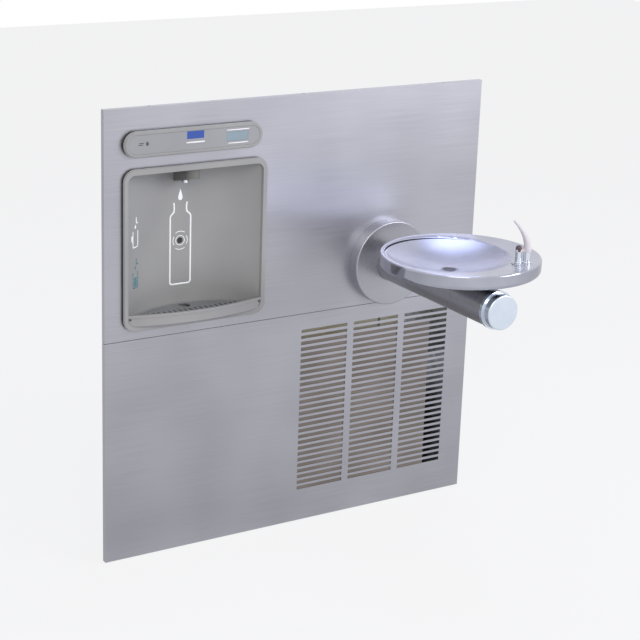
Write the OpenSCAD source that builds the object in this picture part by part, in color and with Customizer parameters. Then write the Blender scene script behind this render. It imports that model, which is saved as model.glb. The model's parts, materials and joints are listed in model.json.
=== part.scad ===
// In-wall bottle filling station with a refrigerated drinking fountain.
// X runs to the right along the wall, Y into the wall and Z up.
// The origin is the middle of the four wall bolts, on the wall's face, so heights are measured
// from the middle of the two panels.

/* [Panels] */
// Width of both front panels
panel_w = 914.4; // [905:0.1:940]
// Height of the two panels together
panel_h = 965.2; // [955:0.1:1000]
// How far the panel faces stand off the wall
panel_d = 12; // [10:0.5:16]
// Thickness of the panel sheet
sheet = 1.5; // [1:0.1:2]
// Height of the joint between the panels
seam_z = 3; // [0:0.5:3.5]
// Gap between the two panels
seam_gap = 1; // [0.6:0.1:1.4]

/* [Grille] */
// Middle of the three columns of slots
grille_x = 204; // [196:1:208]
// Middle height of the slots
grille_z = -221; // [-226:1:-216]
// Number of slots in a column
slot_count = 28; // [20:1:28]
// Distance from one slot to the next
slot_pitch = 13.6; // [12:0.1:14]
// Length of one slot
slot_w = 118; // [100:1:120]
// Height of one slot
slot_h = 7.8; // [5:0.1:9]
// Width of the web between two columns
column_gap = 17; // [12:1:20]

// Width of the dust screen behind the slots
screen_w = 350; // [320:1:380]
// Height of the dust screen
screen_h = 360; // [340:1:376]
// Thickness of the dust screen
screen_t = 4; // [3:0.5:5]

/* [Bottle bay] */
// Middle of the bay
bay_x = -253.5; // [-256:0.5:-250]
// Middle height of the bay
bay_z = 191.5; // [190:0.5:194]
// Outer width of the bay's bezel
bay_w = 329; // [320:1:332]
// Outer height of the bay's bezel
bay_h = 338; // [332:1:340]
// Corner radius of the bezel
bay_r = 26; // [20:1:30]
// Width of the bezel at the sides
bay_lip = 10; // [8:0.5:12]
// Height of the bezel above the opening
bay_top_lip = 12.5; // [12:0.5:20]
// Height of the bezel below the drip tray
bay_sill = 12; // [10:0.5:14]
// Depth of the recess behind the panel's face, at its middle
bay_depth = 67; // [62:1:72]
// Radius of the recess's round back, seen from above
bay_plan_r = 214; // [206:1:230]
// Wall thickness of the moulding
bay_wall = 3; // [2.5:0.1:3.6]
// Thickness of the black gasket under the bezel
gasket_t = 4.5; // [3:0.5:6]
// Thickness of the bezel in front of its gasket
bezel_t = 4; // [3:0.5:5]

/* [Drip tray] */
// Height of the tray's front wall
tray_h = 24; // [20:0.5:27]
// How far the tray bulges out in front of the bezel
tray_bulge = 24; // [18:0.5:28]
// Wall thickness of the tray
tray_wall = 3; // [2.5:0.1:4]
// Thickness of the tray's floor
tray_floor = 2.5; // [2:0.1:3]
// Height of the drain grid above the tray's underside
grid_rise = 12; // [10:0.5:13]
// Thickness of the drain grid
grid_t = 2.5; // [2:0.1:3]
// Distance between two slots of the drain grid
grid_pitch = 12; // [10:0.5:16]
// Width of one slot of the drain grid
grid_slot = 4; // [3:0.5:5]

/* [Nozzle] */
// Width of the nozzle's housing
boss_w = 32; // [28:1:36]
// How far the front of the housing hangs below the recess's ceiling
boss_drop = 22; // [18:1:28]
// How far the back of the housing hangs below the recess's ceiling
boss_back_drop = 38; // [32:1:42]
// Distance of the nozzle behind the panel's face
nozzle_depth = 45; // [40:1:48]
// Outer radius of the nozzle
nozzle_r = 7; // [6:0.5:8]
// Length of the nozzle below its housing
nozzle_drop = 3; // [2:0.5:10]
// Height of the bottle sensor
sensor_z = 181.5; // [150:1:200]
// Radius of the bottle sensor's window
sensor_r = 6; // [4:0.5:8]

/* [Control bar] */
// Middle of the bar
bar_x = -261.5; // [-263:0.5:-260]
// Middle height of the bar
bar_z = 410; // [409:0.5:411]
// Width of the bar
bar_w = 313; // [300:1:314]
// Height of the bar
bar_h = 54; // [50:0.5:56]
// Thickness of the bar's black gasket
bar_gasket_t = 5; // [4:0.5:6]
// Thickness of the bar in front of its gasket
bar_t = 8; // [6:0.5:10]
// Width of the rim round the face plate
bar_rim = 7.5; // [6:0.5:9]
// Middle of the display window, from the middle of the bar
window_dx = 96; // [90:1:100]
// Width of the display window
window_w = 50; // [40:1:54]
// Height of the display window
window_h = 19; // [14:1:22]
// Depth of the control housing behind the panel
housing_d = 34; // [30:1:44]

/* [Fountain arm] */
// Middle of the arm
arm_x = 222; // [220:0.5:230]
// Height of the arm's axis
arm_z = 98; // [97.6:0.2:100]
// Outer radius of the arm
arm_r = 38.5; // [36:0.5:40]
// Wall thickness of the arm
arm_t = 1.6; // [1.4:0.1:2]
// Reach of the button's face in front of the wall
arm_reach = 437; // [430:1:450]
// Outer radius of the round wall cover
cover_r = 94; // [88:0.5:94]
// Depth of the wall cover
cover_d = 27; // [20:0.5:28]
// Sheet thickness of the wall cover
cover_t = 1.5; // [1:0.1:2]

/* [Push button] */
// How far the button can be pressed
button_travel = 4; // [2:0.5:5]
// How far the button stands out of the end ring
button_proud = 20; // [16:1:24]
// Running clearance round the button
button_fit = 0.1; // [0.05:0.01:0.1]
// Radius of the valve stem
stem_r = 4; // [3:0.5:4.5]

/* [Fountain bowl] */
// Middle of the bowl in front of the wall
bowl_y = -284; // [-290:1:-280]
// Height of the bowl's rim
bowl_z = 182; // [178:0.5:182]
// Outer radius of the bowl
bowl_r = 167; // [165:0.5:170]
// Height of the polished band round the bowl
band_h = 30; // [26:0.5:31]
// Sheet thickness of the bowl
bowl_t = 2; // [1.6:0.1:2.2]
// Radius of the dished part at its edge
dish_r = 136; // [132:0.5:137]
// Depth of the dish under its edge
dish_d = 36.5; // [33:0.5:36.5]
// How far the dish lies off the bowl's middle, away from the bubbler
dish_shift = 25; // [22:0.5:26]
// Direction of that shift
dish_turn = 137; // [130:1:144]
// Radius of the drain strainer
strainer_r = 15; // [13:0.5:15.5]

/* [Bubbler] */
// Distance of the bubbler from the bowl's middle
bubbler_reach = 138.5; // [136:0.5:141]
// Direction of the bubbler, seen from above
bubbler_turn = -51.6; // [-54:0.2:-50]
// Radius of the bubbler's main post
post_r = 7.5; // [6.5:0.5:8]
// Height of the main post
post_h = 30; // [26:1:34]
// Height of the white spout above its post
spout_h = 56; // [46:1:60]
// How far the spout leans over the dish
spout_lean = 30; // [24:1:34]

/* [Wall frame] */
// Width of the frame's bars
rail_w = 40; // [36:1:40]
// Thickness of the frame's bars
rail_t = 3; // [2.5:0.5:4]
// Radius of the wall bolt holes
bolt_hole_r = 4.5; // [3.5:0.5:6]
// Distance between the wall bolts along the wall
bolt_span_x = 860; // [850:1:870]
// Distance between the wall bolts up the wall
bolt_span_z = 920; // [912:1:926]

/* [Chiller] */
// Depth of the chiller behind the wall's face
chiller_d = 250; // [246:1:280]
// Left side of the chiller
chiller_x0 = -10; // [-14:1:-6]
// Sheet thickness of the chiller's base pan
pan_sheet = 2.5; // [2:0.1:3]
// Width of the condenser
cond_w = 250; // [230:1:256]
// Height of the condenser
cond_h = 214; // [200:1:220]
// Depth of the condenser
cond_d = 44; // [40:1:48]
// Number of fins
fin_count = 46; // [20:1:50]
// Radius of the fan
fan_r = 92; // [80:1:94]
// Number of fan blades
fan_blades = 5; // [3:1:7]
// Radius of the compressor
comp_r = 58; // [54:1:60]
// Height of the compressor
comp_h = 168; // [150:1:176]
// Outer radius of the foam round the tank
tank_r = 58; // [52:1:60]
// Length of the tank in its foam
tank_l = 320; // [300:1:330]

/* [Water] */
// Outer radius of the waste pipe
waste_r = 15.9; // [15:0.1:17]
// Wall thickness of the waste pipe
waste_t = 1.5; // [1:0.1:2]
// Outer radius of the small water tubes
tube_r = 3.2; // [2.8:0.1:3.4]
// Middle of the filter
filter_x = -330; // [-334:1:-320]
// Radius of the filter cartridge
filter_r = 38; // [34:1:40]
// Length of the filter cartridge
filter_l = 190; // [160:1:210]

/* [Hidden] */
$fn = 64;

// Finishes
steel = "#b4b4bc";
plastic = "#a9a9a3";
black = "#26262a";
chrome = "#d6dade";
copper = "#b87348";
zinc = "#8f9398";

// Clearances, overruns and smoothness of the large curves
seat = 0.3;
over = 1;
thread_fit = 0.05;
smooth = 128;
fine = 720;

// Places worked out from the driving sizes
front_y = -panel_d;
behind_y = front_y + sheet;
half_w = panel_w / 2;
half_h = panel_h / 2;
seam_top = seam_z + seam_gap / 2;
seam_bottom = seam_z - seam_gap / 2;
frame_w = half_w - sheet - seat;
frame_h = half_h - sheet - seat;
rail_in = frame_h - rail_w;
post_in = frame_w - rail_w;
bay_back = front_y - gasket_t;
bay_front = bay_back - bezel_t;
bay_inner_w = bay_w - 2 * bay_lip;
bay_top = bay_z + bay_h / 2 - bay_top_lip;
tray_z = bay_z - bay_h / 2 + bay_sill;
bay_floor = tray_z + seat;
recess_y = front_y + bay_depth;
recess_cy = recess_y - bay_plan_r;
bar_back = front_y - bar_gasket_t;
bar_front = bar_back - bar_t;
arm_ir = arm_r - arm_t;

// Rounded rectangle
module rounded(w, h, r) {
    square([w - 2 * r, h], center = true);
    for (side = [-1, 1])
        translate([side * (w / 2 - r / 2), 0]) square([r, h - 2 * r], center = true);
    for (sx = [-1, 1], sz = [-1, 1])
        translate([sx * (w / 2 - r), sz * (h / 2 - r)]) circle(r);
}

// Flat shape with two round ends
module stadium(w, h) {
    square([w - h, h], center = true);
    for (side = [-1, 1]) translate([side * (w - h) / 2, 0]) circle(h / 2);
}

// Stands a flat shape up in the wall's plane, between two depths
module wall_slab(x, z, y0, y1) {
    translate([x, y1, z]) rotate([90, 0, 0]) linear_extrude(y1 - y0) children();
}

// Block between two corners
module block(low, high) {
    translate(low) cube(high - low);
}

// Cylinder along Y between two depths
module rod_y(x, z, y0, y1, r) {
    translate([x, y1, z]) rotate([90, 0, 0]) cylinder(h = y1 - y0, r = r);
}

// Turned shape with its axis along Y, drawn as radius and distance out of the wall
module turned_y(x, z) {
    translate([x, 0, z]) rotate([90, 0, 0]) rotate_extrude() children();
}

// Drum with rounded ends, drawn as radius and height, to be turned
module drum(r, l, edge) {
    square([r - edge, l]);
    translate([0, edge]) square([r, l - 2 * edge]);
    for (z = [edge, l - edge]) intersection() {
        translate([r - edge, z]) circle(edge);
        square([r, l]);
    }
}

// Angles that turn the x, y and z axes onto u, a and n
function unit(v) = v / norm(v);
function turn_of(u, a, n) =
    abs(u[2]) > 1 - 1e-9
        ? [atan2(-n[1], a[1]), -90 * sign(u[2]), 0]
        : [atan2(a[2], n[2]), -asin(u[2]), atan2(u[1], u[0])];

// Round bar or pipe along a route, with round bends; a bore of zero makes it solid
module pipe(route, r, bend, bore = 0) {
    last = len(route) - 1;
    turns = [for (i = [0:last])
        i == 0 || i == last ? 0
        : acos(min(1, unit(route[i] - route[i - 1]) * unit(route[i + 1] - route[i])))];
    cuts = [for (t = turns) bend * tan(t / 2)];
    for (i = [0:last - 1]) {
        way = unit(route[i + 1] - route[i]);
        from = route[i] + way * cuts[i];
        length = norm(route[i + 1] - route[i]) - cuts[i] - cuts[i + 1];
        translate(from) rotate([0, acos(way[2]), atan2(way[1], way[0])]) difference() {
            cylinder(h = length, r = r);
            if (bore > 0) translate([0, 0, -over]) cylinder(h = length + 2 * over, r = bore);
        }
    }
    for (i = [1:last]) if (i < last) {
        a = unit(route[i] - route[i - 1]);
        b = unit(route[i + 1] - route[i]);
        n = unit(cross(a, b));
        u = cross(a, n);
        middle = route[i] - a * cuts[i] - u * bend;
        translate(middle) rotate(turn_of(u, a, n)) rotate_extrude(angle = turns[i])
            translate([bend, 0]) difference() {
                circle(r);
                if (bore > 0) circle(bore);
            }
    }
}

// Straight tubes with a square elbow of a given half width at each corner and at the end
module elbow_tube(route, r, half) {
    last = len(route) - 1;
    for (i = [0:last - 1]) {
        way = unit(route[i + 1] - route[i]);
        translate(route[i]) rotate([0, acos(way[2]), atan2(way[1], way[0])])
            cylinder(h = norm(route[i + 1] - route[i]), r = r);
    }
    for (i = [1:last]) translate(route[i]) cube(2 * half, center = true);
}

// PANELS

bay_flange = 6;
bar_flange = 8;
bay_hole_r = 20;
arm_hole_r = arm_r + seat;
arm_bolt_r = 5;
arm_bolt_ring = 64;
bolt_fit = 0.5;
arm_bolt_hole_r = arm_bolt_r + bolt_fit;
arm_bolt_count = 4;
lip_t = 2;
screw_r = 2;
screw_head_r = 4;
screw_l = 9;
screw_count = 3;
screw_spread_share = 0.78;
screw_y = -panel_d / 2;
screw_xs = [for (i = [0:screw_count - 1])
    panel_w * screw_spread_share * (i / (screw_count - 1) - 0.5)];

// Countersunk holes in the top (0) or bottom (1) edge of the panels
module screw_cuts(bottom) {
    mirror([0, 0, bottom]) for (x = screw_xs) translate([x, screw_y, 0]) {
        translate([0, 0, half_h - 2 * sheet]) cylinder(h = 2 * sheet + over, r = screw_r + seat);
        translate([0, 0, half_h - sheet])
            cylinder(h = sheet, r1 = screw_r + seat, r2 = screw_head_r + seat);
    }
}

// Places round the arm where the four bolts go
module at_arm_bolts() {
    for (i = [0:arm_bolt_count - 1])
        rotate([0, 0, (i + 0.5) * 360 / arm_bolt_count]) translate([arm_bolt_ring, 0]) children();
}

// Folded edges of a panel: two sides, its far edge and the shorter fold at the joint
module panel_edges(z0, z1, far_z, seam_edge_z) {
    seam_x = frame_w - lip_t - seat;
    for (side = [0, 1]) mirror([side, 0, 0])
        block([half_w - sheet, front_y, z0], [half_w, 0, z1]);
    block([sheet - half_w, front_y, far_z], [half_w - sheet, 0, far_z + sheet]);
    block([-seam_x, front_y, seam_edge_z], [seam_x, -rail_t, seam_edge_z + sheet]);
}

clamp_screw_r = 1.5;
clamp_inset = 60;
clamp_screw_x = bay_w / 2 - bay_flange / 2;

// Places of the four screws that hold the bay, in the wall's plane
module at_clamp_screws() {
    for (sx = [-1, 1], sz = [-1, 1])
        translate([bay_x + sx * clamp_screw_x, bay_z + sz * (bay_h / 2 - clamp_inset)]) children();
}

module upper_panel() color(steel) {
    difference() {
        union() {
            wall_slab(0, 0, front_y, behind_y) difference() {
                translate([0, (seam_top + half_h) / 2])
                    square([panel_w, half_h - seam_top], center = true);
                translate([bay_x, bay_z])
                    rounded(bay_w - 2 * bay_flange, bay_h - 2 * bay_flange, bay_hole_r);
                translate([bar_x, bar_z]) stadium(bar_w - 2 * bar_flange, bar_h - 2 * bar_flange);
                translate([arm_x, arm_z]) circle(arm_hole_r);
                translate([arm_x, arm_z]) at_arm_bolts() circle(arm_bolt_hole_r);
                at_clamp_screws() circle(clamp_screw_r + seat);
            }
            panel_edges(seam_top, half_h, half_h - sheet, seam_top);
        }
        screw_cuts(0);
    }
}

module lower_panel() color(steel) {
    difference() {
        union() {
            wall_slab(0, 0, front_y, behind_y) difference() {
                translate([0, (seam_bottom - half_h) / 2])
                    square([panel_w, seam_bottom + half_h], center = true);
                for (column = [-1:1], row = [0:slot_count - 1])
                    translate([grille_x + column * (slot_w + column_gap),
                        grille_z + (row - (slot_count - 1) / 2) * slot_pitch])
                        square([slot_w, slot_h], center = true);
            }
            panel_edges(-half_h, seam_bottom, -half_h, seam_bottom - sheet);
        }
        screw_cuts(1);
    }
}

screen_inset = 8;

// Mat of stiff fibre that lies against the panel behind the slots
module dust_screen() color("#968f86") {
    column_edge = (3 * slot_w + 2 * column_gap) / 2;
    row_edge = slot_count * slot_pitch / 2;
    wall_slab(0, 0, behind_y + seat, behind_y + seat + screen_t)
        translate([grille_x - column_edge - screen_inset, grille_z - row_edge - screen_inset / 2])
            square([screen_w, screen_h]);
}

clamp_t = 3;
clamp_head_r = 2.9;
clamp_head_t = 2.5;
clamp_grip = 2.5;

// Panel screws in the top and bottom edges, and the screws of the bay
module screws() color(zinc) {
    for (bottom = [0, 1]) mirror([0, 0, bottom]) for (x = screw_xs)
        translate([x, screw_y, half_h - screw_l]) {
            cylinder(h = screw_l - sheet, r = screw_r);
            translate([0, 0, screw_l - sheet]) cylinder(h = sheet, r1 = screw_r, r2 = screw_head_r);
        }
    wall_slab(0, 0, bay_back - clamp_grip, behind_y + clamp_t)
        at_clamp_screws() circle(clamp_screw_r);
    wall_slab(0, 0, behind_y + clamp_t, behind_y + clamp_t + clamp_head_t)
        at_clamp_screws() circle(clamp_head_r);
}

// WALL FRAME

mid_drop = 20;
mid_rise = 19;
mid_low = seam_z - mid_drop;
mid_high = seam_z + mid_rise;
flange_d = 30;
frame_front = behind_y + seat;

module frame_rails() color(zinc) {
    // Top and bottom bars, each with its outer lip, its inner flange and its bolt holes
    for (bottom = [0, 1]) mirror([0, 0, bottom]) difference() {
        union() {
            block([-frame_w, -rail_t, rail_in], [frame_w, 0, frame_h]);
            block([-frame_w, frame_front, frame_h - lip_t], [frame_w, -rail_t, frame_h]);
            block([-post_in, 0, rail_in], [post_in, flange_d, rail_in + lip_t]);
        }
        for (x = [-1, 1])
            rod_y(x * bolt_span_x / 2, bolt_span_z / 2, -rail_t - over, over, bolt_hole_r);
        for (x = screw_xs) translate([x, screw_y, frame_h - lip_t - over])
            cylinder(h = lip_t + 2 * over, r = screw_r + thread_fit);
    }
    // Bar behind the joint of the panels
    block([-post_in, -rail_t, mid_low], [post_in, 0, mid_high]);
}

module frame_posts() color(zinc) {
    for (side = [0, 1]) mirror([side, 0, 0]) {
        block([post_in, -rail_t, -rail_in], [frame_w, 0, rail_in]);
        block([frame_w - lip_t, frame_front, -rail_in], [frame_w, -rail_t, rail_in]);
        block([post_in, 0, -rail_in], [post_in + lip_t, flange_d, rail_in]);
    }
    // Short post between the bay and the fountain
    block([-rail_w / 2, -rail_t, mid_high], [rail_w / 2, 0, rail_in]);
}

// BOTTLE BAY

recess_r = 15;
edge_r = 1.5;
spigot_r = 9;
spigot_t = 1.5;
spigot_l = 14;
drain_y = front_y + nozzle_depth;

// Hollow of the recess, grown by a wall
module recess(grow, y0) {
    top = bay_top + grow;
    low = bay_floor - grow;
    intersection() {
        wall_slab(bay_x, (top + low) / 2, y0, recess_y + grow + over)
            rounded(bay_inner_w + 2 * grow, top - low, recess_r + grow);
        translate([bay_x, recess_cy, low - over])
            cylinder(h = top - low + 2 * over, r = bay_plan_r + grow, $fn = fine);
    }
}

module bay_shell() color(plastic) {
    difference() {
        union() {
            wall_slab(bay_x, bay_z, bay_front + edge_r, bay_back) rounded(bay_w, bay_h, bay_r);
            wall_slab(bay_x, bay_z, bay_front, bay_back)
                rounded(bay_w - 2 * edge_r, bay_h - 2 * edge_r, bay_r - edge_r);
            recess(bay_wall, bay_back);
        }
        recess(0, bay_front - over);
        // Drain spigot, bottle sensor, water line and screws
        translate([bay_x, drain_y, bay_floor - bay_wall - over])
            cylinder(h = bay_wall + 2 * over, r = spigot_r + seat);
        rod_y(bay_x, sensor_z, recess_y - over, recess_y + bay_wall + over, sensor_r + seat);
        translate([bay_x, drain_y, bay_top - over])
            cylinder(h = bay_wall + 2 * over, r = tube_r + seat);
        wall_slab(0, 0, bay_back - clamp_grip - seat, bay_back + over)
            at_clamp_screws() circle(clamp_screw_r + thread_fit);
    }
}

gasket_inset = 0.5;

module bay_gasket() color(black) {
    inner_w = bay_inner_w + 2 * bay_wall + 2 * seat;
    wall_slab(0, 0, bay_back, front_y) difference() {
        translate([bay_x, bay_z])
            rounded(bay_w - 2 * gasket_inset, bay_h - 2 * gasket_inset, bay_r - gasket_inset);
        translate([bay_x, bay_z]) rounded(inner_w, bay_h - 2 * bay_flange, recess_r + bay_wall + seat);
        at_clamp_screws() circle(clamp_screw_r + seat);
    }
}

clamp_w = 14;
clamp_x = bay_inner_w / 2 + bay_wall + seat + clamp_w / 2;
clamp_end = 30;

// Two bars behind the panel that pull the bay's bezel home
module bay_clamps() color(zinc) {
    wall_slab(0, 0, behind_y, behind_y + clamp_t) difference() {
        for (side = [-1, 1]) translate([bay_x + side * clamp_x, bay_z])
            square([clamp_w, bay_h - 2 * clamp_end], center = true);
        at_clamp_screws() circle(clamp_screw_r + seat);
    }
}

tray_top = tray_z + tray_h;
tray_half = bay_inner_w / 2 - seat;
tray_low = bay_floor + seat;
grid_z = tray_z + grid_rise;
bulge_y = bay_front - tray_bulge;
tray_front_r = (pow(bay_inner_w / 2, 2) + pow(tray_bulge, 2)) / (2 * tray_bulge);
bead = 2;
bead_h = 5;

// Outline of the tray from above, drawn in from its edge
module tray_outline(inset) {
    intersection() {
        translate([0, bulge_y + tray_front_r]) circle(tray_front_r - inset, $fn = fine);
        translate([0, recess_cy]) circle(bay_plan_r - seat - inset, $fn = fine);
        square([2 * (tray_half - inset), 2 * bay_plan_r], center = true);
    }
}

// The part of the tray in front of the bezel, between two heights
module tray_nose(inset, low, high) {
    translate([0, 0, low]) linear_extrude(high - low) intersection() {
        tray_outline(inset);
        translate([-bay_w / 2, bulge_y - over]) square([bay_w, tray_bulge + over]);
    }
}

module drip_tray() color(plastic) {
    translate([bay_x, 0, 0]) difference() {
        union() {
            intersection() {
                union() {
                    translate([0, 0, tray_low]) linear_extrude(grid_z - tray_low) tray_outline(bead);
                    tray_nose(bead, tray_low, tray_top);
                    tray_nose(0, tray_top - bead_h, tray_top);
                }
                // Lower corners follow the recess
                wall_slab(0, tray_low + tray_half, bulge_y - over, recess_y)
                    rounded(2 * tray_half, 2 * tray_half, recess_r);
            }
            translate([0, drain_y, tray_low - spigot_l]) cylinder(h = spigot_l + over, r = spigot_r);
        }
        translate([0, 0, tray_low + tray_floor]) linear_extrude(tray_h)
            tray_outline(bead + tray_wall);
        translate([0, drain_y, tray_low - spigot_l - over])
            cylinder(h = spigot_l + tray_floor + 2 * over, r = spigot_r - spigot_t);
    }
}

catch_r = 13;
grid_rim = 8;
grid_seat = bead + tray_wall + seat;

// Slotted plate that a bottle stands on, with a round catch hole under the nozzle
module drain_grid() color("#8a8c90") {
    reach = drain_y - catch_r - grid_rim - bay_front;
    slots = floor((bay_inner_w - 2 * grid_seat - 2 * grid_rim) / grid_pitch / 2) - 1;
    foot_r = 4;
    translate([bay_x, 0, grid_z - grid_t]) linear_extrude(grid_t) difference() {
        tray_outline(grid_seat);
        translate([0, drain_y]) circle(catch_r);
        for (i = [-slots:slots]) translate([i * grid_pitch, bay_front + reach / 2])
            square([grid_slot, reach], center = true);
    }
    // Feet that stand on the tray's floor
    for (sx = [-1, 1]) translate([bay_x + sx * bay_inner_w / 3, bay_front / 2, tray_low + tray_floor])
        cylinder(h = grid_z - grid_t - tray_low - tray_floor, r = foot_r);
}

boss_r = boss_w / 2;
boss_y = front_y + seat;
boss_arc = bay_plan_r - sqrt(pow(bay_plan_r, 2) - pow(boss_r, 2));
boss_back = recess_y - boss_arc - seat;
boss_slope = (boss_back_drop - boss_drop) / (boss_back - boss_y);
nozzle_line_r = nozzle_r - spigot_t;
nozzle_under = bay_top - boss_drop - boss_slope * (drain_y - boss_y);

// Housing that hangs from the recess's ceiling, its underside falling to the back
module nozzle_housing() color("#6f6f6a") {
    difference() {
        intersection() {
            translate([bay_x - boss_r, 0, 0]) rotate([90, 0, 90]) linear_extrude(boss_w)
                polygon([[boss_y, bay_top - seat], [boss_y, bay_top - boss_drop],
                    [boss_back, bay_top - boss_back_drop], [boss_back, bay_top - seat]]);
            translate([bay_x, 0, bay_top - 2 * boss_back_drop])
                linear_extrude(3 * boss_back_drop) union() {
                    translate([0, boss_y + boss_r]) circle(boss_r);
                    translate([-boss_r, boss_y + boss_r]) square([boss_w, bay_depth]);
                }
        }
        translate([bay_x, drain_y, bay_top - 2 * boss_back_drop])
            cylinder(h = 3 * boss_back_drop, r = nozzle_line_r + seat);
    }
}

// Nozzle with its flange close under the housing
module fill_nozzle() color(chrome) {
    bottom = nozzle_under - boss_slope * nozzle_r - nozzle_drop;
    translate([bay_x, drain_y, bottom]) difference() {
        union() {
            cylinder(h = bay_top - bottom - seat, r = nozzle_line_r);
            cylinder(h = nozzle_drop - seat, r = nozzle_r);
        }
        translate([0, 0, -over]) cylinder(h = bay_top - bottom + over, r = nozzle_line_r - spigot_t);
    }
}

module sensor_window() color(black) {
    rod_y(bay_x, sensor_z, recess_y - seat, recess_y + bay_wall, sensor_r);
}

module sensor_module() color("#2c5a3a") {
    depth = 14;
    width = 36;
    height = 28;
    y0 = recess_y + bay_wall + seat;
    block([bay_x - width / 2, y0, sensor_z - height / 2],
        [bay_x + width / 2, y0 + depth, sensor_z + height / 2]);
    rod_y(bay_x, sensor_z, recess_y + bay_wall, y0 + depth / 2, sensor_r - edge_r);
}

// CONTROL BAR

plate_t = 2;
plate_recess = 0.8;
plate_y = bar_front + plate_recess;
window_t = 1.2;
window_dz = 1;

module control_bezel() color("#aeaeaa") {
    chamfer = 2.5;
    neck = 2 * (bar_flange + seat);
    difference() {
        union() {
            wall_slab(bar_x, bar_z, bar_front + chamfer, bar_back) stadium(bar_w, bar_h);
            wall_slab(bar_x, bar_z, bar_front, bar_back)
                stadium(bar_w - 2 * chamfer, bar_h - 2 * chamfer);
            wall_slab(bar_x, bar_z, bar_back, behind_y) stadium(bar_w - neck, bar_h - neck);
        }
        wall_slab(bar_x, bar_z, bar_front - over, plate_y + plate_t)
            stadium(bar_w - 2 * bar_rim, bar_h - 2 * bar_rim);
        // Light well behind the display
        wall_slab(bar_x + window_dx, bar_z + window_dz, bar_front, behind_y + over)
            square([window_w, window_h], center = true);
    }
}

module control_gasket() color(black) {
    wall_slab(bar_x, bar_z, bar_back, front_y) difference() {
        stadium(bar_w - 2 * gasket_inset, bar_h - 2 * gasket_inset);
        stadium(bar_w - 2 * bar_flange, bar_h - 2 * bar_flange);
    }
}

// Both black gaskets, under the bay's bezel and under the control bar
module gaskets() {
    bay_gasket();
    control_gasket();
}

module face_plate() color("#b2b2b4") {
    wall_slab(bar_x, bar_z, plate_y, plate_y + plate_t) difference() {
        stadium(bar_w - 2 * (bar_rim + seat), bar_h - 2 * (bar_rim + seat));
        translate([window_dx, window_dz]) square([window_w, window_h], center = true);
    }
}

module display_window() color("#a8bcc4") {
    wall_slab(bar_x + window_dx, bar_z + window_dz, plate_y + seat, plate_y + seat + window_t)
        square([window_w - 2 * seat, window_h - 2 * seat], center = true);
}

housing_wall = 2;
housing_back = behind_y + housing_d;
housing_w = bar_w - 2 * bar_flange + 2 * housing_wall;
housing_h = bar_h - 2 * bar_flange + 2 * housing_wall;

module control_housing() color(black) {
    difference() {
        wall_slab(bar_x, bar_z, behind_y, housing_back)
            rounded(housing_w, housing_h, 2 * housing_wall);
        wall_slab(bar_x, bar_z, behind_y - over, housing_back - housing_wall)
            rounded(housing_w - 2 * housing_wall, housing_h - 2 * housing_wall, housing_wall);
    }
}

// Board with the display, three relays and the posts that carry it
module control_board() color("#2f6b45") {
    board_t = 1.6;
    margin = 3;
    gap = 8;
    relay_w = 14;
    relay_h = 18;
    relay_d = 10;
    post = 2.5;
    y0 = behind_y + gap;
    wall_slab(bar_x, bar_z, y0, y0 + board_t)
        square([housing_w - 2 * (housing_wall + margin), housing_h - 2 * (housing_wall + margin)],
            center = true);
    wall_slab(bar_x + window_dx, bar_z, behind_y + seat, y0)
        square([window_w, window_h], center = true);
    for (i = [-1:1]) wall_slab(bar_x + 2 * i * relay_w, bar_z, y0 + board_t, y0 + board_t + relay_d)
        square([relay_w, relay_h], center = true);
    for (side = [-1, 1]) rod_y(bar_x + side * bar_w / 3, bar_z, y0 + board_t,
        housing_back - housing_wall, post);
}

// FOUNTAIN ARM

base_t = 6;
base_r = 78;
head_r = 8.5;
head_t = 6;
nut_t = 8;
ring_t = 4;
ring_flare = 2;
tube_end = -arm_reach + button_proud + ring_t;
drain_dx = -11;
drain_dy = 22;
drain_x = arm_x + drain_dx;
drain_ry = bowl_y + drain_dy;
tail_r = 12.5;
tail_t = 1.5;
feed_r = 3.2;

module arm_tube() color(steel) {
    difference() {
        union() {
            rod_y(arm_x, arm_z, tube_end, front_y - base_t, arm_r, $fn = smooth);
            rod_y(arm_x, arm_z, front_y - base_t, front_y, base_r);
        }
        rod_y(arm_x, arm_z, tube_end - over, front_y + over, arm_ir, $fn = smooth);
        wall_slab(arm_x, arm_z, front_y - base_t - over, front_y + over)
            at_arm_bolts() circle(arm_bolt_hole_r);
        translate([drain_x, drain_ry, arm_z]) cylinder(h = 2 * arm_r, r = tail_r + seat);
        translate([arm_x, feed_y, arm_z]) cylinder(h = 2 * arm_r, r = feed_r + seat);
    }
}

module wall_cover() color(steel) {
    edge = 3;
    turned_y(arm_x, arm_z) difference() {
        translate([0, panel_d]) union() {
            square([cover_r, cover_d - edge]);
            square([cover_r - edge, cover_d]);
            translate([cover_r - edge, cover_d - edge]) circle(edge);
        }
        translate([0, panel_d - over])
            square([cover_r - 2 * cover_t, cover_d + over - cover_t]);
        translate([0, panel_d]) square([arm_r + seat, cover_d + over]);
    }
}

// Flat plate behind the upper panel, on the right post, the short post and the middle bar
module arm_plate() color(zinc) {
    low = seam_top + sheet + seat;
    high = arm_z + base_r + edge_r;
    left = -rail_w / 2;
    wall_slab(0, 0, behind_y, -rail_t) difference() {
        translate([left, low]) square([frame_w - lip_t - seat - left, high - low]);
        translate([arm_x, arm_z]) circle(arm_ir);
        translate([arm_x, arm_z]) at_arm_bolts() circle(arm_bolt_hole_r);
    }
}

module arm_bolts() color(zinc) {
    head_y = front_y - base_t;
    nut_y = nut_t - rail_t;
    wall_slab(arm_x, arm_z, head_y, nut_y) at_arm_bolts() circle(arm_bolt_r);
    wall_slab(arm_x, arm_z, head_y - head_t, head_y) at_arm_bolts() circle(head_r, $fn = 6);
    wall_slab(arm_x, arm_z, -rail_t, nut_y) at_arm_bolts() circle(head_r, $fn = 6);
}

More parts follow.
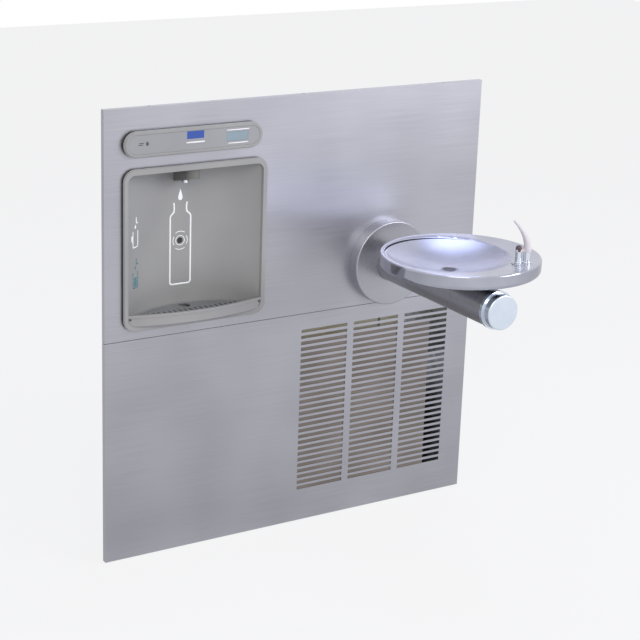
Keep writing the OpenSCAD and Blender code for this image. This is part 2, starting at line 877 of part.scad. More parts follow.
module end_ring() color(chrome) {
    turned_y(arm_x, arm_z) union() {
        translate([arm_ir, -tube_end]) square([arm_t + ring_flare, ring_t]);
        translate([arm_r + seat, -tube_end - ring_t]) square([ring_flare - seat, ring_t]);
    }
}

// PUSH BUTTON, with its stem and spring

button_r = arm_ir - button_fit;
button_wall = 2;
button_skirt = 32;
button_edge = 3;
stem_back = 18;
stem_front = -arm_reach + 2 * button_wall;
collar_r = 8;
collar_t = 3;
spring_r = 12;
spring_wire = 0.9;
spring_turns = 7;
carrier_t = 4;
carrier_gap = 13;
carrier_y = -arm_reach + button_skirt + carrier_gap;

module push_button() color("#dfe8f4") {
    turned_y(arm_x, arm_z) difference() {
        translate([0, arm_reach - button_skirt]) union() {
            square([button_r, button_skirt - button_edge]);
            square([button_r - button_edge, button_skirt]);
            translate([button_r - button_edge, button_skirt - button_edge]) circle(button_edge);
        }
        translate([0, arm_reach - button_skirt - over])
            square([button_r - button_wall, button_skirt + over - 2 * button_wall]);
    }
}

module valve_stem() color(zinc) {
    rod_y(arm_x, arm_z, stem_front, carrier_y + stem_back, stem_r);
    rod_y(arm_x, arm_z, stem_front, stem_front + collar_t, collar_r);
}

// One unbroken wire along a coil round the arm's axis, between two depths
module coil_wire(turns, r, wire_r, y0, y1) {
    sides = 6;
    turn_steps = 14;
    steps = turns * turn_steps;
    points = [for (i = [0:steps], k = [0:sides - 1])
        let (s = i / steps, t = 360 * turns * s, a = 360 * k / sides)
        [arm_x, y0 + (y1 - y0) * s, arm_z] + r * [cos(t), 0, sin(t)]
            + wire_r * [cos(a) * cos(t), sin(a), cos(a) * sin(t)]];
    faces = concat(
        [[for (k = [0:sides - 1]) k]],
        [for (i = [0:steps - 1], k = [0:sides - 1], half = [0, 1])
            let (a = i * sides + k, b = i * sides + (k + 1) % sides)
            half == 0 ? [a, a + sides, b] : [b, a + sides, b + sides]],
        [[for (k = [sides - 1:-1:0]) steps * sides + k]]);
    polyhedron(points, faces);
}

// Least gap between two turns of the spring
spring_gap = (carrier_y - stem_front - 2 * (spring_wire + seat)) / spring_turns - 2 * spring_wire;
echo(spring_gap = spring_gap);

module button_spring() color(zinc) {
    coil_wire(spring_turns, spring_r, spring_wire, stem_front + spring_wire + seat,
        carrier_y - spring_wire - seat);
}

valve_r = 17;
valve_l = 64;
valve_back = carrier_y + valve_l;
port_r = 6;
port_back = 14.3;
feed_y = carrier_y + port_back;
port_rise = 5;
port_top = arm_z + valve_r + port_rise;

module fountain_valve() color("#c9a45c") {
    bore_l = stem_back + button_travel + over;
    difference() {
        union() {
            rod_y(arm_x, arm_z, carrier_y, valve_back, valve_r);
            translate([arm_x, feed_y, arm_z]) cylinder(h = port_top - arm_z, r = port_r);
        }
        rod_y(arm_x, arm_z, carrier_y - over, carrier_y + bore_l, stem_r + thread_fit);
    }
}

// Disc that holds the valve in the middle of the arm
module valve_carrier() color(zinc) {
    turned_y(arm_x, arm_z) translate([valve_r + thread_fit, -carrier_y - carrier_t])
        square([arm_ir - seat - valve_r - thread_fit, carrier_t]);
}

// FOUNTAIN BOWL

rim_r = 3.5;
roll_r = 9;
dish_x = arm_x + dish_shift * cos(dish_turn);
dish_y = bowl_y + dish_shift * sin(dish_turn);
dish_edge_z = bowl_z - over;
dish_bottom = dish_edge_z - dish_d;
dish_ball = (pow(dish_r, 2) + pow(dish_d, 2)) / (2 * dish_d);
band_low = bowl_z - band_h;
ledge_r = bowl_r - 2 * rim_r;
ledge_drop = 12;
ledge_t = 2.5;
pan_gap = 2.5;
pan_t = 1.5;
pan_edge_r = bowl_r - roll_r - seat;
pan_low = dish_bottom - bowl_t - pan_gap - pan_t;
pan_rise = band_low - pan_low;
pan_ball = (pow(pan_edge_r, 2) + pow(pan_rise, 2)) / (2 * pan_rise);
sump_r = strainer_r + seat;
sump_t = 2;
strainer_t = 1.6;
sump_z = dish_bottom - strainer_t - seat;
spud_r = sump_r + sump_t;
spud_low = pan_low - over - seat;
post_x = arm_x + bubbler_reach * cos(bubbler_turn);
post_y = bowl_y + bubbler_reach * sin(bubbler_turn);
second_dx = -15.9;
second_dy = 7.7;
second_r = 6.5;
second_h = 24;
shank_r = 5;
nut_r = 9;
nut_h = 5;
pad_r = 22;
pad_z = bowl_z - over;
pad_low = bowl_z - 3 * ledge_t;

// Ball cap of the dish or the pan, turned about its own axis, up to a height
module cap(x, y, low, ball, z_top) {
    translate([x, y, 0]) rotate_extrude($fn = smooth) intersection() {
        translate([0, low + ball]) circle(ball, $fn = fine);
        translate([0, low - over]) square([2 * bowl_r, z_top - low + over]);
    }
}

// Bowl's outer form, drawn as radius and height, drawn in by a wall
module bowl_form(inset) {
    r = bowl_r - inset;
    top = bowl_z - inset;
    low = band_low + inset;
    square([r - roll_r + inset, top - (inset > 0 ? ledge_t - inset : 0)]);
    translate([0, low + roll_r - inset]) square([r, top - low - roll_r - rim_r + 2 * inset]);
    translate([bowl_r - roll_r, band_low + roll_r]) circle(roll_r - inset);
    translate([bowl_r - rim_r, bowl_z - rim_r]) circle(rim_r - inset);
    translate([0, low + roll_r]) square([bowl_r - rim_r, top - low - roll_r]);
}

module bowl() color("#b9bac6") {
    ledge_z = bowl_z - ledge_drop;
    difference() {
        union() {
            // Rolled rim with the sloping ledge inside it
            translate([arm_x, bowl_y, 0]) rotate_extrude($fn = smooth) difference() {
                intersection() {
                    bowl_form(0);
                    translate([0, band_low]) square([bowl_r, band_h]);
                }
                polygon([[0, ledge_z], [ledge_r, bowl_z], [ledge_r, bowl_z + over],
                    [0, bowl_z + over]]);
                difference() {
                    bowl_form(bowl_t);
                    polygon([[0, ledge_z - ledge_t], [ledge_r, bowl_z - ledge_t],
                        [bowl_r, bowl_z - ledge_t], [bowl_r, bowl_z], [0, bowl_z]]);
                }
                square([bowl_r - roll_r, band_low + bowl_t + over]);
            }
            // Raised pad that carries the bubbler
            translate([post_x + second_dx / 2, post_y + second_dy / 2, pad_low])
                cylinder(h = pad_z - pad_low, r = pad_r);
            // Dish and its drain spud
            cap(dish_x, dish_y, dish_bottom - bowl_t, dish_ball + bowl_t, bowl_z - 2 * ledge_t);
            translate([drain_x, drain_ry, spud_low])
                cylinder(h = dish_bottom - spud_low, r = spud_r);
        }
        cap(dish_x, dish_y, dish_bottom, dish_ball, bowl_z + over);
        translate([drain_x, drain_ry, sump_z]) cylinder(h = dish_d, r = sump_r);
        translate([drain_x, drain_ry, spud_low - over])
            cylinder(h = dish_d, r = tail_r - tail_t);
        translate([post_x, post_y, pad_low - over])
            cylinder(h = pad_z - pad_low + 2 * over, r = shank_r + seat);
    }
}

// Shallow skirt that closes the bowl from below and sits on the arm's saddle
module bowl_under_pan() color("#9a9ba4") {
    difference() {
        intersection() {
            cap(arm_x, bowl_y, pan_low, pan_ball, bowl_z);
            translate([arm_x, bowl_y, pan_low - over])
                cylinder(h = bowl_z - pan_low, r = pan_edge_r, $fn = smooth);
        }
        cap(arm_x, bowl_y, pan_low + pan_t, pan_ball, bowl_z + over);
        translate([drain_x, drain_ry, pan_low - over]) cylinder(h = pan_rise, r = spud_r + seat);
        translate([arm_x, feed_y, pan_low - over]) cylinder(h = pan_rise, r = feed_r + seat);
    }
}

// Wedge between the arm and the pan
module bowl_saddle() color(steel) {
    saddle_r = 34;
    saddle_low = arm_z + arm_r * sin(45);
    difference() {
        translate([arm_x, bowl_y + drain_dy / 2, saddle_low])
            cylinder(h = pan_low + pan_t - saddle_low, r = saddle_r, $fn = smooth);
        translate([arm_x, bowl_y + bowl_r, arm_z]) rotate([90, 0, 0])
            cylinder(h = 2 * bowl_r, r = arm_r + seat, $fn = fine);
        cap(arm_x, bowl_y, pan_low - seat, pan_ball, bowl_z);
        translate([drain_x, drain_ry, arm_z]) cylinder(h = 2 * arm_r, r = spud_r + seat);
    }
}

// Perforated disc in the bowl's drain
module strainer() color("#5c5e66") {
    hole_r = 1.3;
    rings = 3;
    translate([drain_x, drain_ry, sump_z + seat]) difference() {
        cylinder(h = strainer_t, r = strainer_r);
        for (ring = [1:rings], i = [0:6 * ring - 1])
            rotate([0, 0, i * 60 / ring]) translate([ring * strainer_r / (rings + 1), 0, -over])
                cylinder(h = strainer_t + 2 * over, r = hole_r, $fn = 16);
    }
}

waste_in_r = 10;
waste_drop = 12;
waste_z = arm_z - waste_drop;
elbow_l = 28;
socket_l = 12;

// Tailpiece of the bowl, with its elbow towards the wall
module bowl_drain() color(black) {
    bore = tail_r - tail_t;
    difference() {
        union() {
            translate([drain_x, drain_ry, waste_z]) cylinder(h = spud_low - waste_z, r = tail_r);
            translate([drain_x, drain_ry, waste_z]) sphere(r = tail_r);
            rod_y(drain_x, waste_z, drain_ry, drain_ry + elbow_l, tail_r);
        }
        translate([drain_x, drain_ry, waste_z]) cylinder(h = spud_low - waste_z + over, r = bore);
        rod_y(drain_x, waste_z, drain_ry, drain_ry + elbow_l + over, waste_in_r + thread_fit);
    }
}

// BUBBLER

foot_t = 2;
foot_r = 1.5;

// Chrome post with its threaded shank, and the shorter post beside it
module bubbler_base() color(chrome) {
    shank_l = pad_z - pad_low + nut_h;
    translate([post_x, post_y, pad_z]) {
        cylinder(h = post_h, r = post_r);
        cylinder(h = foot_t, r = post_r + foot_r);
        translate([0, 0, -shank_l]) cylinder(h = shank_l, r = shank_r);
        translate([second_dx, second_dy, 0]) {
            cylinder(h = second_h, r = second_r);
            cylinder(h = foot_t, r = second_r + foot_r);
        }
    }
}

spout_z = pad_z + post_h;
spout_dir = [cos(dish_turn), sin(dish_turn), 0];
spout_side = [-sin(dish_turn), cos(dish_turn), 0];
spout_tip_r = 3.2;

// Middle line of the spout, upright at first and then leaning over the dish
function spout_at(s) =
    [post_x, post_y, spout_z] + spout_dir * spout_lean * pow(s, 2) + [0, 0, spout_h * s];
function spout_way(s) = unit(spout_dir * 2 * spout_lean * s + [0, 0, spout_h]);
function spout_r(s) = post_r + (spout_tip_r - post_r) * pow(s, 1.2);

module bubbler_spout() color("#f4eeee") {
    rings = 12;
    sides = 16;
    points = [for (i = [0:rings], k = [0:sides - 1])
        let (s = i / rings, a = 360 * k / sides, across = cross(spout_side, spout_way(s)))
        spout_at(s) + spout_r(s) * (cos(a) * spout_side + sin(a) * across)];
    faces = concat(
        [[for (k = [sides - 1:-1:0]) k]],
        [for (i = [0:rings - 1], k = [0:sides - 1], half = [0, 1])
            let (a = i * sides + k, b = i * sides + (k + 1) % sides)
            half == 0 ? [a, b, a + sides] : [b, b + sides, a + sides]],
        [[for (k = [0:sides - 1]) rings * sides + k]]);
    polyhedron(points, faces);
}

// Dark mouthpiece on the second post
module bubbler_nozzle() color("#5d4a50") {
    mouth_h = second_r + seat;
    translate([post_x + second_dx, post_y + second_dy, pad_z + second_h]) {
        cylinder(h = mouth_h, r = second_r);
        translate([0, 0, mouth_h]) sphere(r = second_r);
    }
}

module bubbler_nut() color(zinc) {
    translate([post_x, post_y, pad_low - nut_h]) difference() {
        cylinder(h = nut_h, r = nut_r, $fn = 6);
        translate([0, 0, -over]) cylinder(h = nut_h + 2 * over, r = shank_r + thread_fit);
    }
}

// WASTE

waste_x = -110;
waste_y = 60;
waste_end = -300;
waste_plain = 40;
collar_h = 6;
waste_bend = 32;
hose_z = -36;

module waste_pipe() color("#e4e4e0") {
    step_y = waste_t;
    pipe([[drain_x, drain_ry + elbow_l - socket_l, waste_z], [drain_x, step_y, waste_z]],
        waste_in_r, waste_bend, waste_in_r - waste_t);
    pipe([[drain_x, 0, waste_z], [drain_x, waste_y, waste_z], [waste_x, waste_y, waste_z],
        [waste_x, waste_y, waste_end]], waste_r, waste_bend, waste_r - waste_t);
    // Stop collar over the plain end
    translate([waste_x, waste_y, waste_end + waste_plain]) difference() {
        cylinder(h = collar_h, r = waste_r + waste_t);
        translate([0, 0, -over]) cylinder(h = collar_h + 2 * over, r = waste_r - waste_t / 2);
    }
    // Reducer
    difference() {
        rod_y(drain_x, waste_z, 0, 2 * waste_t, waste_r - waste_t / 2);
        rod_y(drain_x, waste_z, -over, 2 * waste_t + over, waste_in_r - waste_t);
    }
}

module tray_hose() color("#d8d8d4") {
    pipe([[bay_x, drain_y, tray_low - spigot_l], [bay_x, drain_y, hose_z], [bay_x, waste_y, hose_z],
        [waste_x - waste_r - seat, waste_y, hose_z]], spigot_r, spigot_r + over, spigot_r - spigot_t);
}

// CHILLER

plate_w = 2.5;
chiller_x1 = post_in;
chiller_z = -rail_in;
pan_top = chiller_z + pan_sheet;
side_top = seam_z + mid_rise / 2;
shelf_drop = 185;
shelf_z = seam_z - shelf_drop;
tank_x = (chiller_x0 + chiller_x1) / 2;
tank_y = 150;
tank_z = shelf_z + plate_w + tank_r + seat;
cond_gap = 20;
cond_x = chiller_x0 + plate_w + 2 * cond_gap + cond_w / 2;
cond_z = pan_top + cond_h / 2;
cond_y1 = cond_gap + cond_d;
shroud_t = 2;
shroud_ring = 20;
shroud_gap = 3;
fan_gap = 12;
fan_y = cond_y1 + shroud_t + fan_gap;
ring_back = cond_y1 + seat + shroud_ring;
motor_gap = 10;
motor_y = ring_back + motor_gap;
motor_l = 52;
motor_r = 34;
shaft_r = 4;
line_port = 30;

module base_pan() color(zinc) {
    lip_h = 18;
    block([chiller_x0, seat, chiller_z], [chiller_x1, chiller_d, pan_top]);
    block([chiller_x0, chiller_d - plate_w, chiller_z], [chiller_x1, chiller_d, pan_top + lip_h]);
}

// Side plates, the left one with two holes for the tank's tubes
module side_plates() color(zinc) {
    difference() {
        for (x = [chiller_x0, chiller_x1 - plate_w])
            block([x, 0, pan_top], [x + plate_w, chiller_d - plate_w, side_top]);
        for (side = [-1, 1]) translate([chiller_x0 - over, tank_y, tank_z + side * line_port])
            rotate([0, 90, 0]) cylinder(h = plate_w + 2 * over, r = tube_r + seat);
    }
}

module tank_shelf() color(zinc) {
    cradle_w = 20;
    cradle_h = 24;
    block([chiller_x0 + plate_w, tank_y - tank_r, shelf_z],
        [chiller_x1 - plate_w, tank_y + tank_r, shelf_z + plate_w]);
    difference() {
        for (side = [-1, 1]) translate([tank_x + side * tank_l / 3, tank_y, shelf_z + plate_w])
            block([-cradle_w / 2, -tank_r, 0], [cradle_w / 2, tank_r, cradle_h]);
        translate([tank_x - tank_l, tank_y, tank_z]) rotate([0, 90, 0])
            cylinder(h = 2 * tank_l, r = tank_r + seat, $fn = fine);
    }
}

module tank() color("#d9cfa8") {
    edge = 8;
    translate([tank_x - tank_l / 2, tank_y, tank_z]) rotate([0, 90, 0])
        rotate_extrude($fn = smooth) drum(tank_r, tank_l, edge);
}

comp_gap = 8;
comp_x = chiller_x1 - plate_w - comp_r - comp_gap;
comp_y = 150;
foot_h = 14;
comp_z = pan_top + foot_h;
foot_span = 84;
comp_plate = 3;
stub_r = 5;
stub_l = 12;
stub_top = comp_z + comp_h + stub_l;
dome_share = 0.45;

module at_feet() {
    for (sx = [-1, 1], sy = [-1, 1])
        translate([comp_x + sx * foot_span / 2, comp_y + sy * foot_span / 2, 0]) children();
}

module compressor() color(black) {
    dome = comp_r * dome_share;
    seam_h = 8;
    seam_out = 3;
    foot_r = 13;
    difference() {
        union() {
            translate([comp_x, comp_y, comp_z]) {
                rotate_extrude($fn = smooth) {
                    drum(comp_r, comp_h, dome);
                    translate([0, (comp_h - seam_h) / 2]) square([comp_r + seam_out, seam_h]);
                }
                linear_extrude(comp_plate)
                    rounded(foot_span + 2 * foot_r, foot_span + 2 * foot_r, foot_r);
            }
            for (turn = [0, 90]) translate([comp_x, comp_y, stub_top - comp_h / 2])
                rotate([0, 0, turn]) translate([0, -comp_r / 2, 0]) cylinder(h = comp_h / 2, r = stub_r);
        }
        translate([0, 0, comp_z - over]) at_feet()
            cylinder(h = comp_plate + 2 * over, r = stub_r + seat);
    }
}

// Rubber feet with their pins
module compressor_feet() color(black) {
    foot_r = 11;
    translate([0, 0, pan_top]) at_feet() {
        cylinder(h = foot_h, r = foot_r);
        cylinder(h = foot_h + comp_plate + over, r = stub_r);
    }
}

module condenser() color("#a8adb2") {
    fin_t = 0.8;
    coil_r = 5;
    rows = 6;
    pitch = (cond_w - fin_t) / (fin_count + 1);
    for (i = [0:fin_count + 1]) translate([cond_x - cond_w / 2 + i * pitch, cond_gap, pan_top])
        cube([fin_t, cond_d, cond_h]);
    for (row = [0:rows - 1]) translate([cond_x - cond_w / 2, cond_gap + cond_d / 2,
        pan_top + (row + 0.5) * cond_h / rows])
        rotate([0, 90, 0]) cylinder(h = cond_w, r = coil_r);
}

// Shroud round the fan, with three arms and the collar that holds the motor
module fan_shroud() color(black) {
    front = cond_y1 + seat;
    collar_back = motor_y + motor_l / 2;
    collar_out = motor_r + shroud_t;
    hole_r = fan_r + shroud_gap;
    arm_w = 12;
    difference() {
        union() {
            wall_slab(cond_x, cond_z, front, front + shroud_t)
                square([cond_w, cond_h], center = true);
            rod_y(cond_x, cond_z, front, ring_back, hole_r + shroud_t);
        }
        rod_y(cond_x, cond_z, front - over, ring_back + over, hole_r);
    }
    difference() {
        union() {
            rod_y(cond_x, cond_z, ring_back, collar_back, collar_out);
            for (i = [0:2]) translate([cond_x, ring_back, cond_z]) rotate([0, i * 120 - 90, 0])
                block([0, 0, -arm_w / 2], [hole_r + shroud_t, 2 * shroud_t, arm_w / 2]);
        }
        rod_y(cond_x, cond_z, ring_back - over, collar_back + over, motor_r + seat);
    }
}

module fan_motor() color("#3a3c40") {
    cap_t = 4;
    difference() {
        union() {
            rod_y(cond_x, cond_z, motor_y, motor_y + motor_l, motor_r);
            rod_y(cond_x, cond_z, motor_y + motor_l, motor_y + motor_l + cap_t, motor_r / 2);
        }
        rod_y(cond_x, cond_z, motor_y - over, motor_y + motor_l / 2, shaft_r + thread_fit);
    }
}

// Hub, shaft and pitched blades
module fan_blade() color("#55585e") {
    hub_r = 18;
    hub_l = 12;
    blade_t = 1.6;
    chord = 44;
    blade_turn = 14;
    rod_y(cond_x, cond_z, fan_y - hub_l / 2, fan_y + hub_l / 2, hub_r);
    rod_y(cond_x, cond_z, fan_y, motor_y + motor_l / 2 - over, shaft_r);
    intersection() {
        for (i = [0:fan_blades - 1]) translate([cond_x, fan_y, cond_z])
            rotate([0, i * 360 / fan_blades, 0]) rotate([0, 0, blade_turn])
                block([-chord / 2, -blade_t / 2, hub_r / 2], [chord / 2, blade_t / 2, fan_r]);
        rod_y(cond_x, cond_z, fan_y - hub_l, fan_y + hub_l, fan_r - blade_t, $fn = smooth);
    }
}

drier_gap = 25;
drier_rise = 45;
drier_x = cond_x + cond_w / 2 + drier_gap;
drier_y = cond_gap + cond_d / 2;
drier_z = pan_top + drier_rise;
drier_r = 9;
drier_l = 80;
neck_l = 10;
line_r = 3.5;
line_bend = 10;

module drier() color(copper) {
    translate([drier_x, drier_y, drier_z]) rotate_extrude() {
        drum(drier_r, drier_l, drier_r - over);
        translate([0, -neck_l]) square([line_r, drier_l + 2 * neck_l]);
    }
}

// Copper lines: compressor to condenser, condenser to drier, drier to tank, tank to compressor
module refrigerant_lines() color(copper) {
    cond_side = cond_x + cond_w / 2;
    tank_front = tank_y - tank_r;
    front_line_y = tank_front - 2 * line_bend;
    over_comp = stub_top + 2.5 * line_bend;
    hot_z = pan_top + cond_h - cond_gap;
    cold_z = drier_z - neck_l - 2 * line_bend;
    drier_top = drier_z + drier_l + neck_l;
    pipe([[comp_x, comp_y - comp_r / 2, stub_top], [comp_x, comp_y - comp_r / 2, over_comp],
        [comp_x, drier_y, over_comp], [comp_x, drier_y, hot_z], [cond_side, drier_y, hot_z]],
        line_r, line_bend);
    pipe([[cond_side, drier_y, cold_z], [drier_x, drier_y, cold_z],
        [drier_x, drier_y, drier_z - neck_l]], line_r, line_bend);
    pipe([[drier_x, drier_y, drier_top], [drier_x, drier_y, drier_top + 2.5 * line_bend],
        [drier_x, front_line_y, drier_top + 2.5 * line_bend], [drier_x, front_line_y, tank_z],
        [drier_x, tank_front, tank_z]], line_r, line_bend);
}

// Thermostat on the left side plate, with a gland for the supply cable underneath
thermo_w = 40;
thermo_d = 56;
thermo_h = 60;
thermo_dy = 70;
thermo_y = tank_y + thermo_dy;
knob_shaft = 8;

module thermostat() color("#c8c8c4") {
    gland_r = 8;
    gland_l = 12;
    cable_r = 4;
    x = chiller_x0 - thermo_w;
    difference() {
        union() {
            block([x, thermo_y - thermo_d / 2, tank_z - thermo_h / 2],
                [chiller_x0, thermo_y + thermo_d / 2, tank_z + thermo_h / 2]);
            translate([chiller_x0 - thermo_w / 2, thermo_y, tank_z - thermo_h / 2 - gland_l])
                cylinder(h = gland_l + over, r = gland_r);
        }
        translate([x - over, thermo_y, tank_z]) rotate([0, 90, 0])
            cylinder(h = knob_shaft + seat + over, r = shaft_r + thread_fit);
        translate([chiller_x0 - thermo_w / 2, thermo_y, tank_z - thermo_h / 2 - gland_l - over])
            cylinder(h = 2 * gland_l, r = cable_r);
    }
}

module thermostat_knob() color(black) {
    knob_r = 13;
    knob_t = 12;
    grip = 4;
    translate([chiller_x0 - thermo_w, thermo_y, tank_z]) rotate([0, -90, 0]) {
        difference() {
            translate([0, 0, seat]) cylinder(h = knob_t, r = knob_r);
            translate([-grip / 2, knob_r / 3, knob_t - grip]) cube([grip, knob_r, knob_t]);
        }
        translate([0, 0, -knob_shaft]) cylinder(h = knob_shaft + over, r = shaft_r);
    }
}

// WATER

filter_y = 62;
head_drop = 43;
head_top = seam_z - head_drop;
head_h = 46;
head_r2 = filter_r + 6;
neck_r = 20;
neck_h = 26;
cart_top = head_top - head_h;
port_l = 10;
port_z = head_top - head_h / 3;
elbow_r = 9;

module filter_head() color("#2d4a86") {
    bracket_t = 3;
    difference() {
        union() {
            translate([filter_x, filter_y, cart_top + seat])
                cylinder(h = head_h - seat, r = head_r2);
            translate([filter_x - head_r2 - port_l, filter_y, port_z]) rotate([0, 90, 0])
                cylinder(h = 2 * (head_r2 + port_l), r = elbow_r);
            // Bracket on the back of the middle bar
            block([filter_x - neck_r, 0, head_top - bracket_t],
                [filter_x + neck_r, filter_y, head_top]);
            block([filter_x - neck_r, 0, head_top - bracket_t],
                [filter_x + neck_r, bracket_t, mid_high - bracket_t]);
        }
        translate([filter_x, filter_y, cart_top - over])
            cylinder(h = neck_h + over + seat, r = neck_r + thread_fit);
    }
}

// Cartridge with its neck and a grip across the foot, for turning
module filter_cartridge() color("#e8e8e6") {
    edge = 8;
    grip = 5;
    grip_h = 14;
    translate([filter_x, filter_y, cart_top - filter_l]) {
        rotate_extrude() {
            drum(filter_r, filter_l, edge);
            square([neck_r, filter_l + neck_h]);
        }
        block([-filter_r / 2, -grip / 2, -grip_h], [filter_r / 2, grip / 2, edge]);
    }
}

sol_out = 22;
sol_drop = 80;
sol_x = chiller_x0 - sol_out;
sol_y = 70;
sol_z = tank_z - sol_drop;
sol_body = 24;
sol_coil_r = 16;
sol_coil_h = 38;
plunger_r = 5;
plunger_l = 22;
plunger_lift = 3;

// Valve body on the side plate, with its coil on top and a closed bore for the plunger
module solenoid_valve() color(zinc) {
    bore_l = plunger_l + plunger_lift + over;
    difference() {
        union() {
            block([sol_x - sol_body / 2, sol_y - sol_body / 2, sol_z - sol_body],
                [chiller_x0, sol_y + sol_body / 2, sol_z]);
            translate([sol_x, sol_y, sol_z]) cylinder(h = sol_coil_h, r = sol_coil_r);
        }
        translate([sol_x, sol_y, sol_z]) cylinder(h = bore_l, r = plunger_r + thread_fit);
    }
}

module solenoid_plunger() color(steel) {
    translate([sol_x, sol_y, sol_z]) cylinder(h = plunger_l, r = plunger_r);
}

inlet_r = 4.76;
inlet_out = 15;
inlet_x = filter_x - head_r2 - port_l - inlet_out;
inlet_end = -220;
inlet_plain = 30;
inlet_bead = 2;
supply_dx = 18;
feed_dx = 55;
feed_rise = 17.5;
feed_z = pan_low + pan_t + feed_rise;
feed_end = pad_low - nut_h - feed_r - seat;
supply_y = 30;

// Tubes: water inlet, filter to tank, tank to bay, tank to fountain and valve to bubbler
module water_lines() color("#9fb4c8") {
    far_y = waste_y + waste_r + 3 * line_bend;
    right_port = filter_x + head_r2 + port_l;
    tank_side = tank_x - tank_l / 2;
    sol_in = sol_z - sol_body / 2;
    rise_x = chiller_x0 - 6 * line_bend;
    bay_back_y = recess_y + bay_wall + 4 * line_bend;
    bay_over = bay_top + bay_wall + 2 * line_bend;
    pipe([[filter_x - head_r2 - port_l, filter_y, port_z], [inlet_x, filter_y, port_z],
        [inlet_x, filter_y, inlet_end]], inlet_r, line_bend);
    translate([inlet_x, filter_y, inlet_end + inlet_plain])
        cylinder(h = inlet_bead, r = inlet_r + inlet_bead);
    pipe([[right_port, filter_y, port_z], [right_port + 2 * line_bend, filter_y, port_z],
        [right_port + 2 * line_bend, far_y, port_z], [chiller_x0 - 2 * line_bend, far_y, port_z],
        [chiller_x0 - 2 * line_bend, tank_y, port_z],
        [chiller_x0 - 2 * line_bend, tank_y, tank_z + line_port],
        [tank_side, tank_y, tank_z + line_port]], tube_r, line_bend);
    pipe([[tank_side, tank_y, tank_z - line_port],
        [chiller_x0 - 2 * line_bend, tank_y, tank_z - line_port],
        [chiller_x0 - 2 * line_bend, tank_y, sol_in],
        [chiller_x0 - 2 * line_bend, sol_y + sol_body / 2, sol_in]], tube_r, line_bend);
    pipe([[sol_x - sol_body / 2, sol_y, sol_in], [rise_x, sol_y, sol_in],
        [rise_x, sol_y, mid_low], [rise_x, bay_back_y, mid_low], [rise_x, bay_back_y, bay_over],
        [bay_x, bay_back_y, bay_over], [bay_x, drain_y, bay_over],
        [bay_x, drain_y, bay_top - seat]], tube_r, line_bend);
    pipe([[arm_x + supply_dx, tank_y - tank_r, tank_z], [arm_x + supply_dx, supply_y, tank_z],
        [arm_x + supply_dx, supply_y, arm_z],
        [arm_x + supply_dx, valve_back + 2 * line_bend, arm_z],
        [arm_x, valve_back + 2 * line_bend, arm_z], [arm_x, valve_back, arm_z]],
        tube_r, supply_dx / 2 - seat);
    elbow_tube([[arm_x, feed_y, port_top], [arm_x, feed_y, feed_z],
        [arm_x + feed_dx, feed_y, feed_z], [arm_x + feed_dx, feed_y, feed_end],
        [arm_x + feed_dx, post_y, feed_end], [post_x, post_y, feed_end]],
        feed_r, feed_r + seat);
}

upper_panel();
lower_panel();
dust_screen();
screws();
frame_rails();
frame_posts();
bay_shell();
gaskets();
bay_clamps();
drip_tray();
drain_grid();
nozzle_housing();
fill_nozzle();
sensor_window();
sensor_module();
control_bezel();
face_plate();
display_window();
control_housing();
control_board();
arm_tube();
wall_cover();
arm_plate();
arm_bolts();
end_ring();
push_button();
valve_stem();
button_spring();
fountain_valve();
valve_carrier();
bowl();
bowl_under_pan();
bowl_saddle();
strainer();
bowl_drain();
bubbler_base();
bubbler_spout();
bubbler_nozzle();
bubbler_nut();
waste_pipe();
tray_hose();
base_pan();
side_plates();
tank_shelf();
tank();
compressor();
compressor_feet();
condenser();
fan_shroud();
fan_motor();
fan_blade();
drier();
refrigerant_lines();
thermostat();
thermostat_knob();
filter_head();
filter_cartridge();
solenoid_valve();
solenoid_plunger();
water_lines();
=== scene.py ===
# %% [markdown]
# # A bottle filling station with a drinking fountain, dressed in Blender
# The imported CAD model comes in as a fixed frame: each node already stands where it belongs, in
# metres, with X to the right along the wall, Y into the wall and Z up. This script gives every
# node a finish, adds the details that are too fine or too soft for CAD, and sets up the studio.

# %% Load the frame
import json
import math
import bpy
from mathutils import Matrix, Vector


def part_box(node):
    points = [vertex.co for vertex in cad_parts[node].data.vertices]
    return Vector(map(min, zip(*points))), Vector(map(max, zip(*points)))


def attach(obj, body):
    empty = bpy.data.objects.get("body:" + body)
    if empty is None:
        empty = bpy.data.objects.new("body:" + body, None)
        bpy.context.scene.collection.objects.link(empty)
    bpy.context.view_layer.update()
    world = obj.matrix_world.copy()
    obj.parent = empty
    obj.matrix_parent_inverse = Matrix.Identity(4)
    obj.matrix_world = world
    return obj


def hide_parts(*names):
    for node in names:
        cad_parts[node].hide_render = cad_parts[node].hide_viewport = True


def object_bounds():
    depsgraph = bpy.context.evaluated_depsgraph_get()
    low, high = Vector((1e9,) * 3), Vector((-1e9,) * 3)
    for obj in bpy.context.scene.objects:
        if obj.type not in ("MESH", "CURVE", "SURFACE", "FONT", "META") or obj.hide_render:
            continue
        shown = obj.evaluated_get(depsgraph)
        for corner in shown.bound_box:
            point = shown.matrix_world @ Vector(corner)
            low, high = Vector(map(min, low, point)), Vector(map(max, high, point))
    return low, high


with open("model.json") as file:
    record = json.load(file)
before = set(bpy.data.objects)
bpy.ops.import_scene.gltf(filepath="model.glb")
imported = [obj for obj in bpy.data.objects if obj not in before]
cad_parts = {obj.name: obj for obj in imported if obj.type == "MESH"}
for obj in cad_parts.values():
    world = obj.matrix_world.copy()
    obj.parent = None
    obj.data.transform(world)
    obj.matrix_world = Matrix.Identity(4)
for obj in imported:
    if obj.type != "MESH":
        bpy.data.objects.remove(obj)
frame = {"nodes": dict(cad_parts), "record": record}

nodes = frame["nodes"]
record = frame["record"]
cad_box = [list(corner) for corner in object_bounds()]
print(len(nodes), "nodes in a box from", cad_box[0], "to", cad_box[1])

